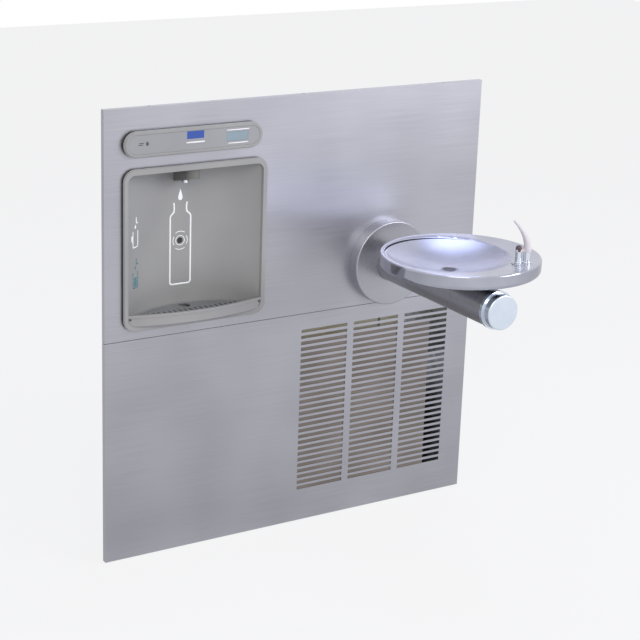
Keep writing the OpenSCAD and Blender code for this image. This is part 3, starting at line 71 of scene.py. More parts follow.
# %% [markdown]
# ## Camera
# The photograph looks down at the panels from the left. A camera could be aimed by eye at a
# target, but its roll and its perspective would then be off, so its place and turn were worked out
# from the panel corners. They are given as three directions, right, up and back, which become the
# columns of its turn. A long lens keeps the perspective as flat as in the photograph.

# %% Camera
right = Vector((0.84942, -0.52664, 0.03358))
up = Vector((0.13442, 0.27747, 0.95128))
back = Vector((-0.51030, -0.80353, 0.30648))
camera_place = Vector((-1.8829, -3.0656, 1.1475))
lens_mm, film_wide_mm = 98.27, 36
bpy.ops.object.camera_add(location=camera_place)
camera = bpy.context.object
camera.rotation_euler = Matrix((right, up, back)).transposed().to_euler()
camera.data.lens = lens_mm
camera.data.sensor_width = film_wide_mm
bpy.context.scene.camera = camera
print("camera", camera.data.lens, "mm")

# %% [markdown]
# ## Small helpers
# Shader trees are wired node by node. One function adds a node, sets its properties and fills its
# sockets: a pair of a node and an output is linked, and anything else is a plain value. A colour
# ramp takes its stops as pairs of a position and a colour. Colours are written as sRGB hex, as a
# colour picker shows them, and turned to the linear values that shaders work with.

# %% Colours and nodes
def linear(colour):
    parts = [int(colour[i:i + 2], 16) / 255 for i in (1, 3, 5)]
    return tuple(c / 12.92 if c <= 0.04045 else ((c + 0.055) / 1.055) ** 2.4 for c in parts) + (1,)


def node(tree, kind, sockets=None, stops=(), **settings):
    new = tree.nodes.new("ShaderNode" + kind)
    for name, value in settings.items():
        setattr(new, name, value)
    for name, value in (sockets or {}).items():
        if isinstance(value, tuple) and isinstance(value[0], bpy.types.Node):
            tree.links.new(value[0].outputs[value[1]], new.inputs[name])
        else:
            new.inputs[name].default_value = value
    for i, (position, colour) in enumerate(stops):
        new.color_ramp.elements[i].position = position
        new.color_ramp.elements[i].color = linear(colour)
    return new


print("mid grey is", round(linear("#808080")[0], 3), "as a linear value")

# %% [markdown]
# Every finish begins with an empty tree that reads Object coordinates, so a pattern keeps its real
# size and stays put on its piece, and ends in one Principled shader. The grain between them is
# noise with a size in millimetres, long and narrow or round. Its values lie mostly from 0.3 to
# 0.7, which is the span that the ramps and ranges of all finishes start from.

# %% Beginning, grain and end of a finish
noise_low, noise_high = 0.3, 0.7
noise_span = {"From Min": noise_low, "From Max": noise_high}


def start_material(name):
    material = bpy.data.materials.new(name)
    material.use_nodes = True
    tree = material.node_tree
    tree.nodes.clear()
    place = node(tree, "TexCoord")
    return material, tree, place


def grain(tree, place, size_mm, detail=3):
    """Noise whose lumps are about size_mm long, wide and high."""
    scale = node(tree, "Mapping", {"Vector": (place, "Object"),
                                   "Scale": tuple(1000 / s for s in size_mm)})
    return node(tree, "TexNoise", {"Vector": (scale, "Vector"), "Scale": 1.0, "Detail": detail})


def end_material(tree, sockets):
    shader = node(tree, "BsdfPrincipled", sockets)
    node(tree, "OutputMaterial", {"Surface": (shader, "BSDF")})


print("noise is read from", noise_low, "to", noise_high)

# %% [markdown]
# ## Studio
# The photograph is a cut-out on white. The world is plain white to the camera and in reflections,
# and softer as a light, so that colours come out about as they are written. The Light Path node
# tells rays that carry a picture from rays that only carry light.

# %% World
def eye_rays(tree):
    """Gives 1 for mirrored rays, and 1 for all rays that carry a picture to the camera."""
    path = node(tree, "LightPath")
    mirrored = node(tree, "Math", {0: (path, "Is Glossy Ray"), 1: (path, "Is Transmission Ray")},
                    operation="MAXIMUM")
    seen = node(tree, "Math", {0: (path, "Is Camera Ray"), 1: (mirrored, 0)}, operation="MAXIMUM")
    return mirrored, seen


scene = bpy.context.scene
scene.view_settings.view_transform = "Standard"
world = bpy.data.worlds.new("white_studio")
scene.world = world
world.use_nodes = True
tree = world.node_tree
tree.nodes.clear()
mirrored, seen = eye_rays(tree)
soft = node(tree, "Background", {"Color": linear("#f2f3ff"), "Strength": 0.5})
white = node(tree, "Background", {"Color": linear("#ffffff"), "Strength": 1.0})
mix = node(tree, "MixShader", {0: (seen, 0), 1: (soft, "Background"), 2: (white, "Background")})
node(tree, "OutputWorld", {"Surface": (mix, "Shader")})
print("world", world.name, "with", len(tree.nodes), "nodes")

# %% [markdown]
# A softbox is a square area lamp turned to face what it lights. The key stands high at the left
# and the fill at the right, where the panels mirror its edge towards the camera, so moving it up
# or down moves the bright end of the panels' slope. The small one hangs over the bowl.

# %% Softboxes
def softbox(name, place, aim, size, watts, colour):
    bpy.ops.object.light_add(type="AREA", location=place)
    lamp = bpy.context.object
    lamp.name = name
    lamp.rotation_euler = (Vector(aim) - Vector(place)).to_track_quat("-Z", "Y").to_euler()
    lamp.data.size = size
    lamp.data.energy = watts
    lamp.data.color = linear(colour)[:3]
    print(name, "softbox,", watts, "W")


softbox("key", (-1.6, -2.6, 2.3), (0, 0, 0), 1.8, 24, "#fffaf2")
softbox("fill", (2.1, -2.5, 1.3), (-0.1, 0, 0), 1.6, 36, "#f2f3ff")
softbox("sky", (0.6, 0.4, 2.1), (0.22, -0.28, 0.18), 0.9, 10, "#b9c6ff")

# %% [markdown]
# The floor is pale paint. To the camera it is mostly lit from within, close to the white of the
# world, and a little of it is real paint, so that it can still take a shadow. The panels mirror it
# too, and what they mirror fades from far to near, as the sweep of paper in a photographer's
# studio does, which shades the steel from top to bottom.

# %% Floor
floor_gap, floor_size = 0.002, 14
near_y, far_y = -0.1, -2.4
near_light, far_light = 0.74, 0.97
glow_share = 0.82
floor_z = cad_box[0][2] - floor_gap
bpy.ops.mesh.primitive_plane_add(size=floor_size, location=(0, 0, floor_z))
floor = bpy.context.object
floor.name = "floor"
material, tree, place = start_material("pale_floor")
mirrored, seen = eye_rays(tree)
away = node(tree, "SeparateXYZ", {"Vector": (place, "Object")})
far = node(tree, "MapRange", {"Value": (away, "Y"), "From Min": near_y, "From Max": far_y,
                              "To Min": near_light, "To Max": far_light})
part = node(tree, "Math", {0: (seen, 0), 1: glow_share}, operation="MULTIPLY")
paint = node(tree, "BsdfDiffuse", {"Color": linear("#e6e6e8")})
level = node(tree, "Mix", {0: (mirrored, 0), 2: 1.0, 3: (far, "Result")})
glow = node(tree, "Emission", {"Color": linear("#ffffff"), "Strength": (level, 0)})
mix = node(tree, "MixShader", {0: (part, 0), 1: (paint, "BSDF"), 2: (glow, "Emission")})
node(tree, "OutputMaterial", {"Surface": (mix, "Shader")})
floor.data.materials.append(material)
print("floor at", round(floor_z, 4))

# %% [markdown]
# ## Steel finishes
# Satin stainless sheet is brushed in one direction with abrasive belts, which leaves fine long
# scratches. They are far finer than a pixel here, so the grain is drawn about a millimetre wide
# and many centimetres long, just strong enough to be seen. Along the grain a reflection stays
# calm, and across it the reflection is smeared out. An anisotropic shader gives that too, but it
# shows no grain up close, so noise stretched along the grain drives tone, roughness and bump.

# %% Brushed steel
scratch_mm, cloud_mm = 0.004, 180


def brushed(name, dark, light, grain_mm, roughness):
    material, tree, place = start_material(name)
    lines = grain(tree, place, grain_mm, 6)
    clouds = grain(tree, place, (cloud_mm,) * 3, 1)
    both = node(tree, "Math", {0: (lines, "Fac"), 1: (clouds, "Fac")}, operation="ADD")
    half = node(tree, "Math", {0: (both, 0), 1: 0.5}, operation="MULTIPLY")
    colour = node(tree, "ValToRGB", {"Fac": (half, 0)}, stops=((0.38, dark), (0.62, light)))
    rough = node(tree, "MapRange", {"Value": (lines, "Fac"), **noise_span,
                                    "To Min": roughness - 0.04, "To Max": roughness + 0.05})
    bump = node(tree, "Bump", {"Height": (lines, "Fac"), "Distance": scratch_mm / 1000})
    end_material(tree, {"Base Color": (colour, "Color"), "Metallic": 1.0,
                        "Roughness": (rough, "Result"), "Normal": (bump, "Normal")})
    return material


# The blue-violet tint in these steel colours is a painted reflection: it stands for a lavender sky
# mirrored in the steel.
panel_steel = brushed("satin_sheet_steel", "#b0b0b8", "#bcbcc4", (160, 160, 1.2), 0.36)
arm_steel = brushed("satin_turned_tube", "#a5a6ab", "#b3b4b9", (30, 1.0, 30), 0.3)
cover_steel = brushed("satin_spun_cover", "#a6a7ae", "#b4b5bc", (1.5, 30, 1.5), 0.3)
print("brushed:", panel_steel.name, arm_steel.name, cover_steel.name)

# %% [markdown]
# The bowl is pressed and then polished: the dish inside is brushed in rings, and the rolled rim
# and the band under it are buffed almost to a mirror. One material does both, and turns from
# satin to polish with the distance from the bowl's own axis and the drop below its rim. The rings
# are about a millimetre wide, which is coarser than real ones, so that they show.

# %% Bowl steel
bowl_low, bowl_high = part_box("bowl")
bowl_middle = Vector(((bowl_low.x + bowl_high.x) / 2, (bowl_low.y + bowl_high.y) / 2,
                      bowl_high.z))
polish_wide, polish_drop, polish_fade = 0.0045, 0.0003, 0.0015
polish_r = (bowl_high.x - bowl_low.x) / 2 - polish_wide
rings_per_metre = 900


def bowl_steel():
    material, tree, place = start_material("pressed_bowl_steel")
    centred = node(tree, "Mapping", {"Vector": (place, "Object"), "Location": tuple(-bowl_middle)})
    flat = node(tree, "VectorMath", {0: (centred, "Vector"), 1: (1, 1, 0)}, operation="MULTIPLY")
    reach = node(tree, "VectorMath", {0: (flat, "Vector")}, operation="LENGTH")
    ring = node(tree, "CombineXYZ", {"X": (reach, "Value")})
    rings = node(tree, "TexNoise", {"Vector": (ring, "Vector"), "Scale": rings_per_metre,
                                    "Detail": 4})
    clouds = grain(tree, place, (90, 90, 90), 2)
    # The blue-violet tint of these dish colours is a painted reflection of a lavender sky in the
    # steel.
    colour = node(tree, "ValToRGB", {"Fac": (clouds, "Fac")},
                  stops=((noise_low, "#a9abb8"), (noise_high, "#babcc8")))
    satin = node(tree, "MapRange", {"Value": (rings, "Fac"), **noise_span,
                                    "To Min": 0.26, "To Max": 0.36})
    level = node(tree, "SeparateXYZ", {"Vector": (centred, "Vector")})
    outside = node(tree, "Math", {0: (reach, "Value"), 1: polish_r}, operation="GREATER_THAN")
    band = node(tree, "MapRange", {"Value": (level, "Z"), "From Min": polish_drop,
                                   "From Max": polish_drop - polish_fade})
    edge = node(tree, "Math", {0: (outside, 0), 1: (band, "Result")}, operation="MULTIPLY")
    rough = node(tree, "Mix", {0: (edge, 0), 2: (satin, "Result"), 3: 0.1})
    bump = node(tree, "Bump", {"Height": (rings, "Fac"), "Distance": 0.003 / 1000})
    end_material(tree, {"Base Color": (colour, "Color"), "Metallic": 1.0,
                        "Roughness": (rough, 0), "Normal": (bump, "Normal")})
    return material


pressed_steel = bowl_steel()
print("bowl steel, polished beyond", round(polish_r * 1000, 1), "mm")

# %% [markdown]
# ## Plated, bare and painted metals
# Chrome plate is a mirror with the faintest haze. Turned, drawn and pressed metals are duller, and
# copper and brass darken unevenly where they were handled. All need the same three things, a tone,
# a sheen and a slight unevenness, so one function makes them from one cloudy noise.

# %% Plated, drawn and turned metals
def metal(name, dark, light, cloud_mm, rough_low, rough_high, height_mm=0.0):
    material, tree, place = start_material(name)
    clouds = grain(tree, place, (cloud_mm,) * 3)
    colour = node(tree, "ValToRGB", {"Fac": (clouds, "Fac")},
                  stops=((noise_low, dark), (noise_high, light)))
    rough = node(tree, "MapRange", {"Value": (clouds, "Fac"), **noise_span,
                                    "To Min": rough_low, "To Max": rough_high})
    sockets = {"Base Color": (colour, "Color"), "Metallic": 1.0, "Roughness": (rough, "Result")}
    if height_mm:
        bump = node(tree, "Bump", {"Height": (clouds, "Fac"), "Distance": height_mm / 1000})
        sockets["Normal"] = (bump, "Normal")
    end_material(tree, sockets)
    return material


chrome = metal("polished_chrome", "#d5dbe4", "#e8edf4", 40, 0.05, 0.12)
button_chrome = metal("satin_chrome_button", "#dbe6f4", "#e6effa", 30, 0.16, 0.24)
bare_steel = metal("turned_bare_steel", "#85878c", "#a0a2a8", 6, 0.25, 0.4, 0.01)
strainer_steel = metal("dull_strainer_steel", "#5f6169", "#7b7d86", 5, 0.3, 0.45, 0.01)
brass = metal("machined_brass", "#b08c48", "#d0ab64", 12, 0.22, 0.38, 0.01)
copper = metal("drawn_copper", "#a05f3c", "#c58258", 25, 0.22, 0.42, 0.01)
fins = metal("pressed_aluminium", "#a5a9ae", "#bcc0c4", 14, 0.3, 0.45, 0.02)
print("metals:", chrome.name, button_chrome.name, bare_steel.name, brass.name, copper.name)

# %% [markdown]
# The frame behind the panels is hot-dip galvanised sheet. Its zinc sets in crystals about a
# centimetre across, each with a grey and a sheen of its own, so one random colour for each
# Voronoi cell gives both. The chiller's motor and case are dipped in black enamel, which runs a
# little and leaves a fine orange peel under its gloss.

# %% Galvanised sheet and enamel
def galvanised():
    material, tree, place = start_material("galvanised_sheet")
    crystals_per_metre = 90
    scale = node(tree, "Mapping", {"Vector": (place, "Object"),
                                   "Scale": (crystals_per_metre,) * 3})
    cells = node(tree, "TexVoronoi", {"Vector": (scale, "Vector"), "Scale": 1.0})
    grey = node(tree, "SeparateColor", {"Color": (cells, "Color")})
    colour = node(tree, "ValToRGB", {"Fac": (grey, "Red")}, stops=((0, "#8c9095"), (1, "#a9adb1")))
    rough = node(tree, "MapRange", {"Value": (grey, "Green"), "To Min": 0.35, "To Max": 0.55})
    end_material(tree, {"Base Color": (colour, "Color"), "Metallic": 1.0,
                        "Roughness": (rough, "Result")})
    return material


def enamel(name, colour, roughness):
    material, tree, place = start_material(name)
    peel_mm, peel_deep_mm = 2.5, 0.03
    peel = grain(tree, place, (peel_mm,) * 3, 2)
    dust = grain(tree, place, (60, 60, 60), 2)
    rough = node(tree, "MapRange", {"Value": (dust, "Fac"), **noise_span,
                                    "To Min": roughness - 0.06, "To Max": roughness + 0.08})
    bump = node(tree, "Bump", {"Height": (peel, "Fac"), "Distance": peel_deep_mm / 1000,
                               "Strength": 0.5})
    end_material(tree, {"Base Color": linear(colour), "Roughness": (rough, "Result"),
                        "Normal": (bump, "Normal"), "Coat Weight": 0.3})
    return material


zinc = galvanised()
motor_enamel = enamel("black_motor_enamel", "#26272b", 0.38)
case_enamel = enamel("black_case_enamel", "#1d1e21", 0.32)
print("sheet and enamel:", zinc.name, motor_enamel.name, case_enamel.name)

# %% [markdown]
# ## Plastics, rubber and foam
# Moulded plastic takes the fine texture of its steel mould, so it has a soft sheen and a very
# small relief. Its colour is nearly even, with faint flow clouds. Rubber is duller, and sprayed
# foam and fibre mat are lumpy and uneven in colour. They differ only in how much of each they
# have, so one function makes them all, and its numbers say what each one is like to touch.

# %% Plastics, rubber and foam
def moulded(name, dark, light, roughness, texture_mm=1.2, height_mm=0.03, coat=0.0):
    material, tree, place = start_material(name)
    texture = grain(tree, place, (texture_mm,) * 3, 4)
    flow = grain(tree, place, (120, 120, 120), 1)
    colour = node(tree, "ValToRGB", {"Fac": (flow, "Fac")},
                  stops=((noise_low, dark), (noise_high, light)))
    rough = node(tree, "MapRange", {"Value": (texture, "Fac"), **noise_span,
                                    "To Min": roughness - 0.05, "To Max": roughness + 0.05})
    bump = node(tree, "Bump", {"Height": (texture, "Fac"), "Distance": height_mm / 1000,
                               "Strength": 0.6})
    end_material(tree, {"Base Color": (colour, "Color"), "Roughness": (rough, "Result"),
                        "Normal": (bump, "Normal"), "Coat Weight": coat})
    return material


bay_plastic = moulded("textured_grey_abs", "#aeaeab", "#b8b8b4", 0.42)
bar_plastic = moulded("smooth_grey_abs", "#aeaeaa", "#b7b7b2", 0.36, 0.8, 0.015)
grid_plastic = moulded("grey_grid_abs", "#85878a", "#909295", 0.4)
nozzle_plastic = moulded("dark_grey_abs", "#767770", "#83847c", 0.3, 0.8, 0.01, 0.2)
black_plastic = moulded("black_nylon", "#1f2023", "#2a2b2f", 0.5)
mouth_plastic = moulded("plum_grey_mouthpiece", "#5b4a51", "#6a575e", 0.3, 0.6, 0.01, 0.3)
gloss_black = moulded("dark_acrylic", "#0f0f11", "#17171a", 0.1, 0.6, 0.002, 0.5)
white_plastic = moulded("white_polypropylene", "#dedfdc", "#e8e8e5", 0.38)
blue_plastic = moulded("blue_polypropylene", "#28447e", "#33528f", 0.3, 1.0, 0.02, 0.3)
tube_plastic = moulded("blue_polyethylene", "#93aac0", "#a5bace", 0.25, 1.0, 0.01, 0.2)
black_rubber = moulded("black_neoprene", "#18181a", "#222224", 0.7, 1.5, 0.06)
white_rubber = moulded("white_silicone", "#efe8ea", "#f6f1f3", 0.5, 0.8, 0.01)
foam = moulded("sprayed_foam", "#cbbf95", "#e0d6b2", 0.85, 9.0, 2.5)
fibre = moulded("stiff_fibre_mat", "#7f776c", "#968d81", 0.9, 1.8, 0.5)
plate_film = moulded("silver_print_film", "#adadae", "#b4b4b5", 0.34, 1.0, 0.01, 0.2)
print("plastics, such as", bay_plastic.name, "and", white_rubber.name)

# %% [markdown]
# ## Board, display and inks
# The circuit board is green glass epoxy with darker copper runs under its lacquer, which a brick
# pattern stands for. The display is grey-blue, with the fine grid of its cells. The brick texture
# lies in X and Y, and both pieces stand upright, so a Mapping node turns it up first.

# %% Board and display
def patterned(name, colour, line, cell_mm, gap_mm, roughness, coat):
    material, tree, place = start_material(name)
    upright = node(tree, "Mapping", {"Vector": (place, "Object"),
                                     "Rotation": (math.radians(90), 0, 0)})
    pattern = node(tree, "TexBrick", {"Vector": (upright, "Vector"), "Color1": linear(colour),
                                      "Color2": linear(colour), "Mortar": linear(line),
                                      "Scale": 1.0, "Mortar Size": gap_mm / 1000,
                                      "Brick Width": cell_mm[0] / 1000,
                                      "Row Height": cell_mm[1] / 1000})
    end_material(tree, {"Base Color": (pattern, "Color"), "Roughness": roughness,
                        "Coat Weight": coat})
    return material


board_green = patterned("green_glass_epoxy", "#2f6b45", "#255738", (9, 3), 0.5, 0.35, 0.4)
display_glass = patterned("grey_blue_display", "#a3b9c1", "#8fa7b0", (1.6, 1.6), 0.2, 0.12, 1.0)
print("patterned:", board_green.name, display_glass.name)

# %% [markdown]
# The inks are screen prints: one flat colour, laid a little unevenly, so that only their sheen
# changes from patch to patch. The blue field is glossier than the others, and the white ink gets
# a little light of its own, which keeps its thin lines clear at this small size.

# %% Inks
def ink(name, colour, roughness=0.5, glow=0.0):
    material, tree, place = start_material(name)
    patches = grain(tree, place, (6, 6, 6), 2)
    rough = node(tree, "MapRange", {"Value": (patches, "Fac"), **noise_span,
                                    "To Min": roughness - 0.05, "To Max": roughness + 0.1})
    end_material(tree, {"Base Color": linear(colour), "Roughness": (rough, "Result"),
                        "Emission Color": linear(colour), "Emission Strength": glow})
    return material


white_ink = ink("white_ink", "#fbfbfc", glow=0.3)
grey_ink = ink("dark_grey_ink", "#5e5e62")
teal_ink = ink("teal_ink", "#5f9aa2")
blue_ink = ink("blue_ink", "#3f62b8", 0.3)
print("inks:", white_ink.name, grey_ink.name, teal_ink.name, blue_ink.name)

# %% [markdown]
# ## Giving each node its finish
# The CAD nodes keep their shapes. One table says which nodes each finish goes on, in the order
# steel, other metals, plastics, and the control bar's own parts, and a loop hands them out.

# %% Finishes for the CAD nodes
finishes = {
    panel_steel: "upper_panel lower_panel",
    arm_steel: "arm_tube bowl_saddle",
    cover_steel: "wall_cover bowl_under_pan",
    pressed_steel: "bowl",
    strainer_steel: "strainer",
    chrome: "end_ring bubbler_base fill_nozzle",
    button_chrome: "push_button",
    bare_steel: "valve_stem button_spring solenoid_plunger",
    zinc: "screws frame_rails frame_posts bay_clamps arm_plate arm_bolts base_pan side_plates "
          "tank_shelf",
    brass: "fountain_valve bubbler_nut solenoid_valve",
    copper: "drier refrigerant_lines",
    fins: "condenser fan_blade",
    case_enamel: "compressor",
    motor_enamel: "fan_motor",
    bay_plastic: "bay_shell drip_tray",
    bar_plastic: "control_bezel",
    grid_plastic: "drain_grid",
    nozzle_plastic: "nozzle_housing",
    mouth_plastic: "bubbler_nozzle",
    gloss_black: "sensor_window",
    black_plastic: "sensor_module control_housing valve_carrier bowl_drain fan_shroud "
                   "thermostat_knob",
    white_plastic: "waste_pipe tray_hose thermostat filter_cartridge",
    blue_plastic: "filter_head",
    tube_plastic: "water_lines",
    black_rubber: "gaskets compressor_feet",
    fibre: "dust_screen",
    white_rubber: "bubbler_spout",
    foam: "tank",
    board_green: "control_board",
    display_glass: "display_window",
    plate_film: "face_plate",
}
material_of = {name: material for material, names in finishes.items() for name in names.split()}


def give(piece, material):
    piece.data.materials.clear()
    piece.data.materials.append(material)


for name, piece in nodes.items():
    give(piece, material_of[name])
print(len(material_of), "nodes finished")

# %% [markdown]
# ## Smooth copies of the curved pieces
# A CAD node is a loose mesh of triangles, so its round surfaces show facets in a reflection. For
# the pieces that the eye rests on, a copy stands for the node, and the node itself stays as it
# was packed. A few small helpers come first, because an operator acts on all that is selected:
# everything else is deselected before it runs.

# %% Selecting, editing and settling a piece
def only(piece):
    bpy.ops.object.select_all(action="DESELECT")
    piece.select_set(True)
    bpy.context.view_layer.objects.active = piece


def edit(piece):
    """Opens a piece in edit mode with all of it selected."""
    only(piece)
    bpy.ops.object.mode_set(mode="EDIT")
    bpy.ops.mesh.select_all(action="SELECT")


def edit_some(piece, parts, wanted):
    """Opens a piece in edit mode with only the wanted ones of its vertices or faces selected."""
    edit(piece)
    bpy.ops.mesh.select_all(action="DESELECT")
    bpy.ops.object.mode_set(mode="OBJECT")
    for part in parts:
        part.select = wanted(part)
    bpy.ops.object.mode_set(mode="EDIT")


def close_edit():
    bpy.ops.object.mode_set(mode="OBJECT")


def settle(piece):
    """Moves a piece's place, turn and size into its mesh."""
    only(piece)
    bpy.ops.object.transform_apply(location=True, rotation=True, scale=True)


def apply_modifiers(piece):
    only(piece)
    for modifier in list(piece.modifiers):
        bpy.ops.object.modifier_apply(modifier=modifier.name)


print("helpers for shaping are ready")

# %% [markdown]
# The copy is merged, its flat regions are made single faces, its sharp edges get the small radius
# that folding, moulding or polishing leaves, and it is shaded smooth. A Bevel modifier finds the
# sharp edges by their angle, which saves picking them one by one. Weighted normals keep the wide
# flat faces flat beside their narrow rounded edges. The bowl, its pan, the arm and the button are
# round all over, so they keep their triangles and are only shaded smooth.

# %% Copies with soft edges
merge_gap, flat_degrees, edge_steps = 0.00001, 0.5, 2


def body_of_node(name):
    for body, members in record["behaviour"]["bodies"].items():
        if name in members:
            return body


def smooth_copy(name, edge_mm=0.0, corner=35):
    piece = bpy.data.objects.new(name + "_finished", nodes[name].data.copy())
    scene.collection.objects.link(piece)
    edit(piece)
    bpy.ops.mesh.remove_doubles(threshold=merge_gap)
    if edge_mm:
        bpy.ops.mesh.dissolve_limited(angle_limit=math.radians(flat_degrees))
    close_edit()
    if edge_mm:
        bevel = piece.modifiers.new("edges", "BEVEL")
        bevel.width = edge_mm / 1000
        bevel.segments = edge_steps
        bevel.limit_method = "ANGLE"
        bevel.angle_limit = math.radians(corner)
        apply_modifiers(piece)
    bpy.ops.object.shade_smooth_by_angle(angle=math.radians(corner))
    level = piece.modifiers.new("level", "WEIGHTED_NORMAL")
    level.keep_sharp = True
    apply_modifiers(piece)
    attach(piece, body_of_node(name))
    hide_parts(name)
    print(piece.name, len(piece.data.polygons), "faces")


soft_edges = {"upper_panel": 0.5, "lower_panel": 0.3, "bay_shell": 1.0, "drip_tray": 0.8,
              "control_bezel": 0.8, "wall_cover": 0.3, "end_ring": 0.4, "nozzle_housing": 1.0,
              "bowl_saddle": 0.3, "bubbler_base": 0.4, "strainer": 0.2}
for name, edge_mm in soft_edges.items():
    smooth_copy(name, edge_mm)
for name in ("bowl", "bowl_under_pan", "arm_tube", "push_button"):
    smooth_copy(name, corner=18)

# %% [markdown]
# ## Prints on the bay's curved back
# The filling place is marked with a screen print: a bottle's outline with a drop over it and a
# target round the sensor. It could be a pattern in the wall's material, but a mesh keeps its edges
# crisp from any distance. A stroke is a flat curve swept by a straight nib and turned into a mesh,
# because a curve keeps its width round a bend. All drawings are in millimetres, X by Z.

# %% Strokes and arcs
def stroke(name, points, width_mm, closed=False):
    nib_curve = bpy.data.curves.new("nib", "CURVE")
    tip = nib_curve.splines.new("POLY")
    tip.points.add(1)
    for point, side in zip(tip.points, (-0.5, 0.5)):
        point.co = (side * width_mm / 1000, 0, 0, 1)
    nib = bpy.data.objects.new("nib", nib_curve)
    line = bpy.data.curves.new(name, "CURVE")
    line.dimensions = "2D"
    line.bevel_mode = "OBJECT"
    line.bevel_object = nib
    spline = line.splines.new("POLY")
    spline.points.add(len(points) - 1)
    for point, (x, z) in zip(spline.points, points):
        point.co = (x / 1000, z / 1000, 0, 1)
    spline.use_cyclic_u = closed
    piece = bpy.data.objects.new(name, line)
    piece.rotation_euler = (math.radians(90), 0, 0)
    for item in (nib, piece):
        scene.collection.objects.link(item)
    only(piece)
    bpy.ops.object.convert(target="MESH")
    settle(piece)
    bpy.data.objects.remove(nib)
    return piece


def arc(x, z, r, start, end, steps=24):
    return [(x + r * math.cos(math.radians(start + (end - start) * i / steps)),
             z + r * math.sin(math.radians(start + (end - start) * i / steps)))
            for i in range(steps + 1)]


def joined(name, parts):
    only(parts[0])
    for item in parts:
        item.select_set(True)
    bpy.ops.object.join()
    parts[0].name = name
    return parts[0]


print("a quarter arc has", len(arc(0, 0, 1, 0, 90)), "points")

# %% [markdown]
# A print is a thin film. On a curved node a Shrinkwrap presses the flat drawing onto the wall,
# straight back along Y, and it is then lifted clear by a little more than its own thickness. On a
# flat node it is moved to the face's depth. Solidify gives both kinds their thickness.

# %% Films
film_mm, film_lift_mm = 0.1, 0.12


def film(piece, material, body, on=None, depth_mm=0.0):
    only(piece)
    if on:
        press = piece.modifiers.new("press", "SHRINKWRAP")
        press.target = nodes[on]
        press.wrap_method = "PROJECT"
        press.use_project_y = True
        press.use_positive_direction = True
        apply_modifiers(piece)
        depth_mm = -film_lift_mm
    edit(piece)
    bpy.ops.transform.translate(value=(0, depth_mm / 1000, 0))
    bpy.ops.mesh.normals_make_consistent(inside=False)
    close_edit()
    skin = piece.modifiers.new("film", "SOLIDIFY")
    skin.thickness = film_mm / 1000
    skin.offset = 0
    apply_modifiers(piece)
    give(piece, material)
    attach(piece, body)
    print(piece.name, len(piece.data.polygons), "faces")


print("films are", film_mm, "mm thick")

# %% [markdown]
# The bottle is drawn as one open line: down the left side from its lip, round the foot and up
# the right side. It has rounded shoulders and corners, and it stays open at the mouth.

# %% Bottle outline
bay_low, bay_high = [corner * 1000 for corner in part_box("bay_shell")]
bottle_x = (bay_low.x + bay_high.x) / 2 + 0.5
bottle_low, bottle_high = bay_low.z + 65, bay_low.z + 240.5
bottle_half, neck_half, lip_out = 23.7, 14.3, 1.4
foot_r, shoulder_r, bottle_line = 6, 7, 3.2
shoulder_z, neck_z = bay_low.z + 209.5, bay_low.z + 225.5
side_heights = [bay_low.z + z for z in (97.5, 137.5, 177.5, 205.5)]
right_side = (arc(bottle_x + bottle_half - foot_r, bottle_low + foot_r, foot_r, -90, 0, 6)
              + [(bottle_x + bottle_half, z) for z in side_heights]
              + arc(bottle_x + bottle_half - shoulder_r, shoulder_z, shoulder_r, 0, 50, 4)
              + [(bottle_x + neck_half + 0.6, neck_z - 5), (bottle_x + neck_half, neck_z),
                 (bottle_x + neck_half, neck_z + 10),
                 (bottle_x + neck_half + lip_out, bottle_high)])
left_side = [(2 * bottle_x - x, z) for x, z in right_side]
foot = [(bottle_x + d, bottle_low) for d in (-12, -6, 0, 6, 12)]
outline = stroke("bottle_outline", left_side[::-1] + foot + right_side, bottle_line)
film(outline, white_ink, "frame", on="bay_shell")

# %% [markdown]
# The target is a ring and four short arcs round the sensor's window. They are separate strokes
# joined to one piece, so that they are pressed on together.

# %% Target round the sensor
ring_r, near_arc_r, far_arc_r, half_sweep = 10.2, 16.6, 19.5, 33
ring_line, arc_line = 1.3, 1.5
window_low, window_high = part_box("sensor_window")
sensor_z = (window_low.z + window_high.z) / 2 * 1000
target = [stroke("ring", arc(bottle_x, sensor_z, ring_r, 0, 360, 40)[:-1], ring_line, True)]
for turn in (0, 90, 180, 270):
    reach = near_arc_r if turn % 180 == 0 else far_arc_r
    sweep = arc(bottle_x, sensor_z, reach, turn - half_sweep, turn + half_sweep, 12)
    target.append(stroke("arc", sweep, arc_line))
film(joined("sensor_target", target), white_ink, "frame", on="bay_shell")

# %% [markdown]
# A drop begins as a filled circle. Its topmost point is pulled up with proportional editing, so
# that its neighbours follow less and less and draw the sides out to a tip. The pull reaches 1.7
# radii down, which leaves the belly round.

# %% Drop over the bottle
pull_reach = 1.7


def drop(name, x, z, radius_mm, height_mm):
    bpy.ops.object.select_all(action="DESELECT")
    bpy.ops.mesh.primitive_circle_add(vertices=32, radius=radius_mm / 1000, fill_type="NGON",
                                      location=(x / 1000, 0, z / 1000),
                                      rotation=(math.radians(90), 0, 0))
    piece = bpy.context.object
    piece.name = name
    settle(piece)
    top = max(v.co.z for v in piece.data.vertices)
    edit_some(piece, piece.data.vertices, lambda v: v.co.z > top - merge_gap)
    bpy.ops.transform.translate(value=(0, 0, (height_mm - 2 * radius_mm) / 1000),
                                use_proportional_edit=True, proportional_edit_falloff="SHARP",
                                proportional_size=pull_reach * radius_mm / 1000)
    close_edit()
    return piece


falling = drop("falling_drop", bottle_x, bottle_high + 9.5, 4.9, 24.5)
film(falling, white_ink, "frame", on="bay_shell")

# %% [markdown]
# Two small signs sit one above the other at the left of the bay: how to hold a bottle under the
# nozzle, and water running into a glass. They are plain generic signs of this script's own.

# %% Signs on the left of the bay
sign_x = bay_low.x + 44
jar_half, jar_high, jar_corner = 8, 34, 2
jar_line, tap_line, wave_line, palm_line = 2.2, 2.4, 3.4, 4


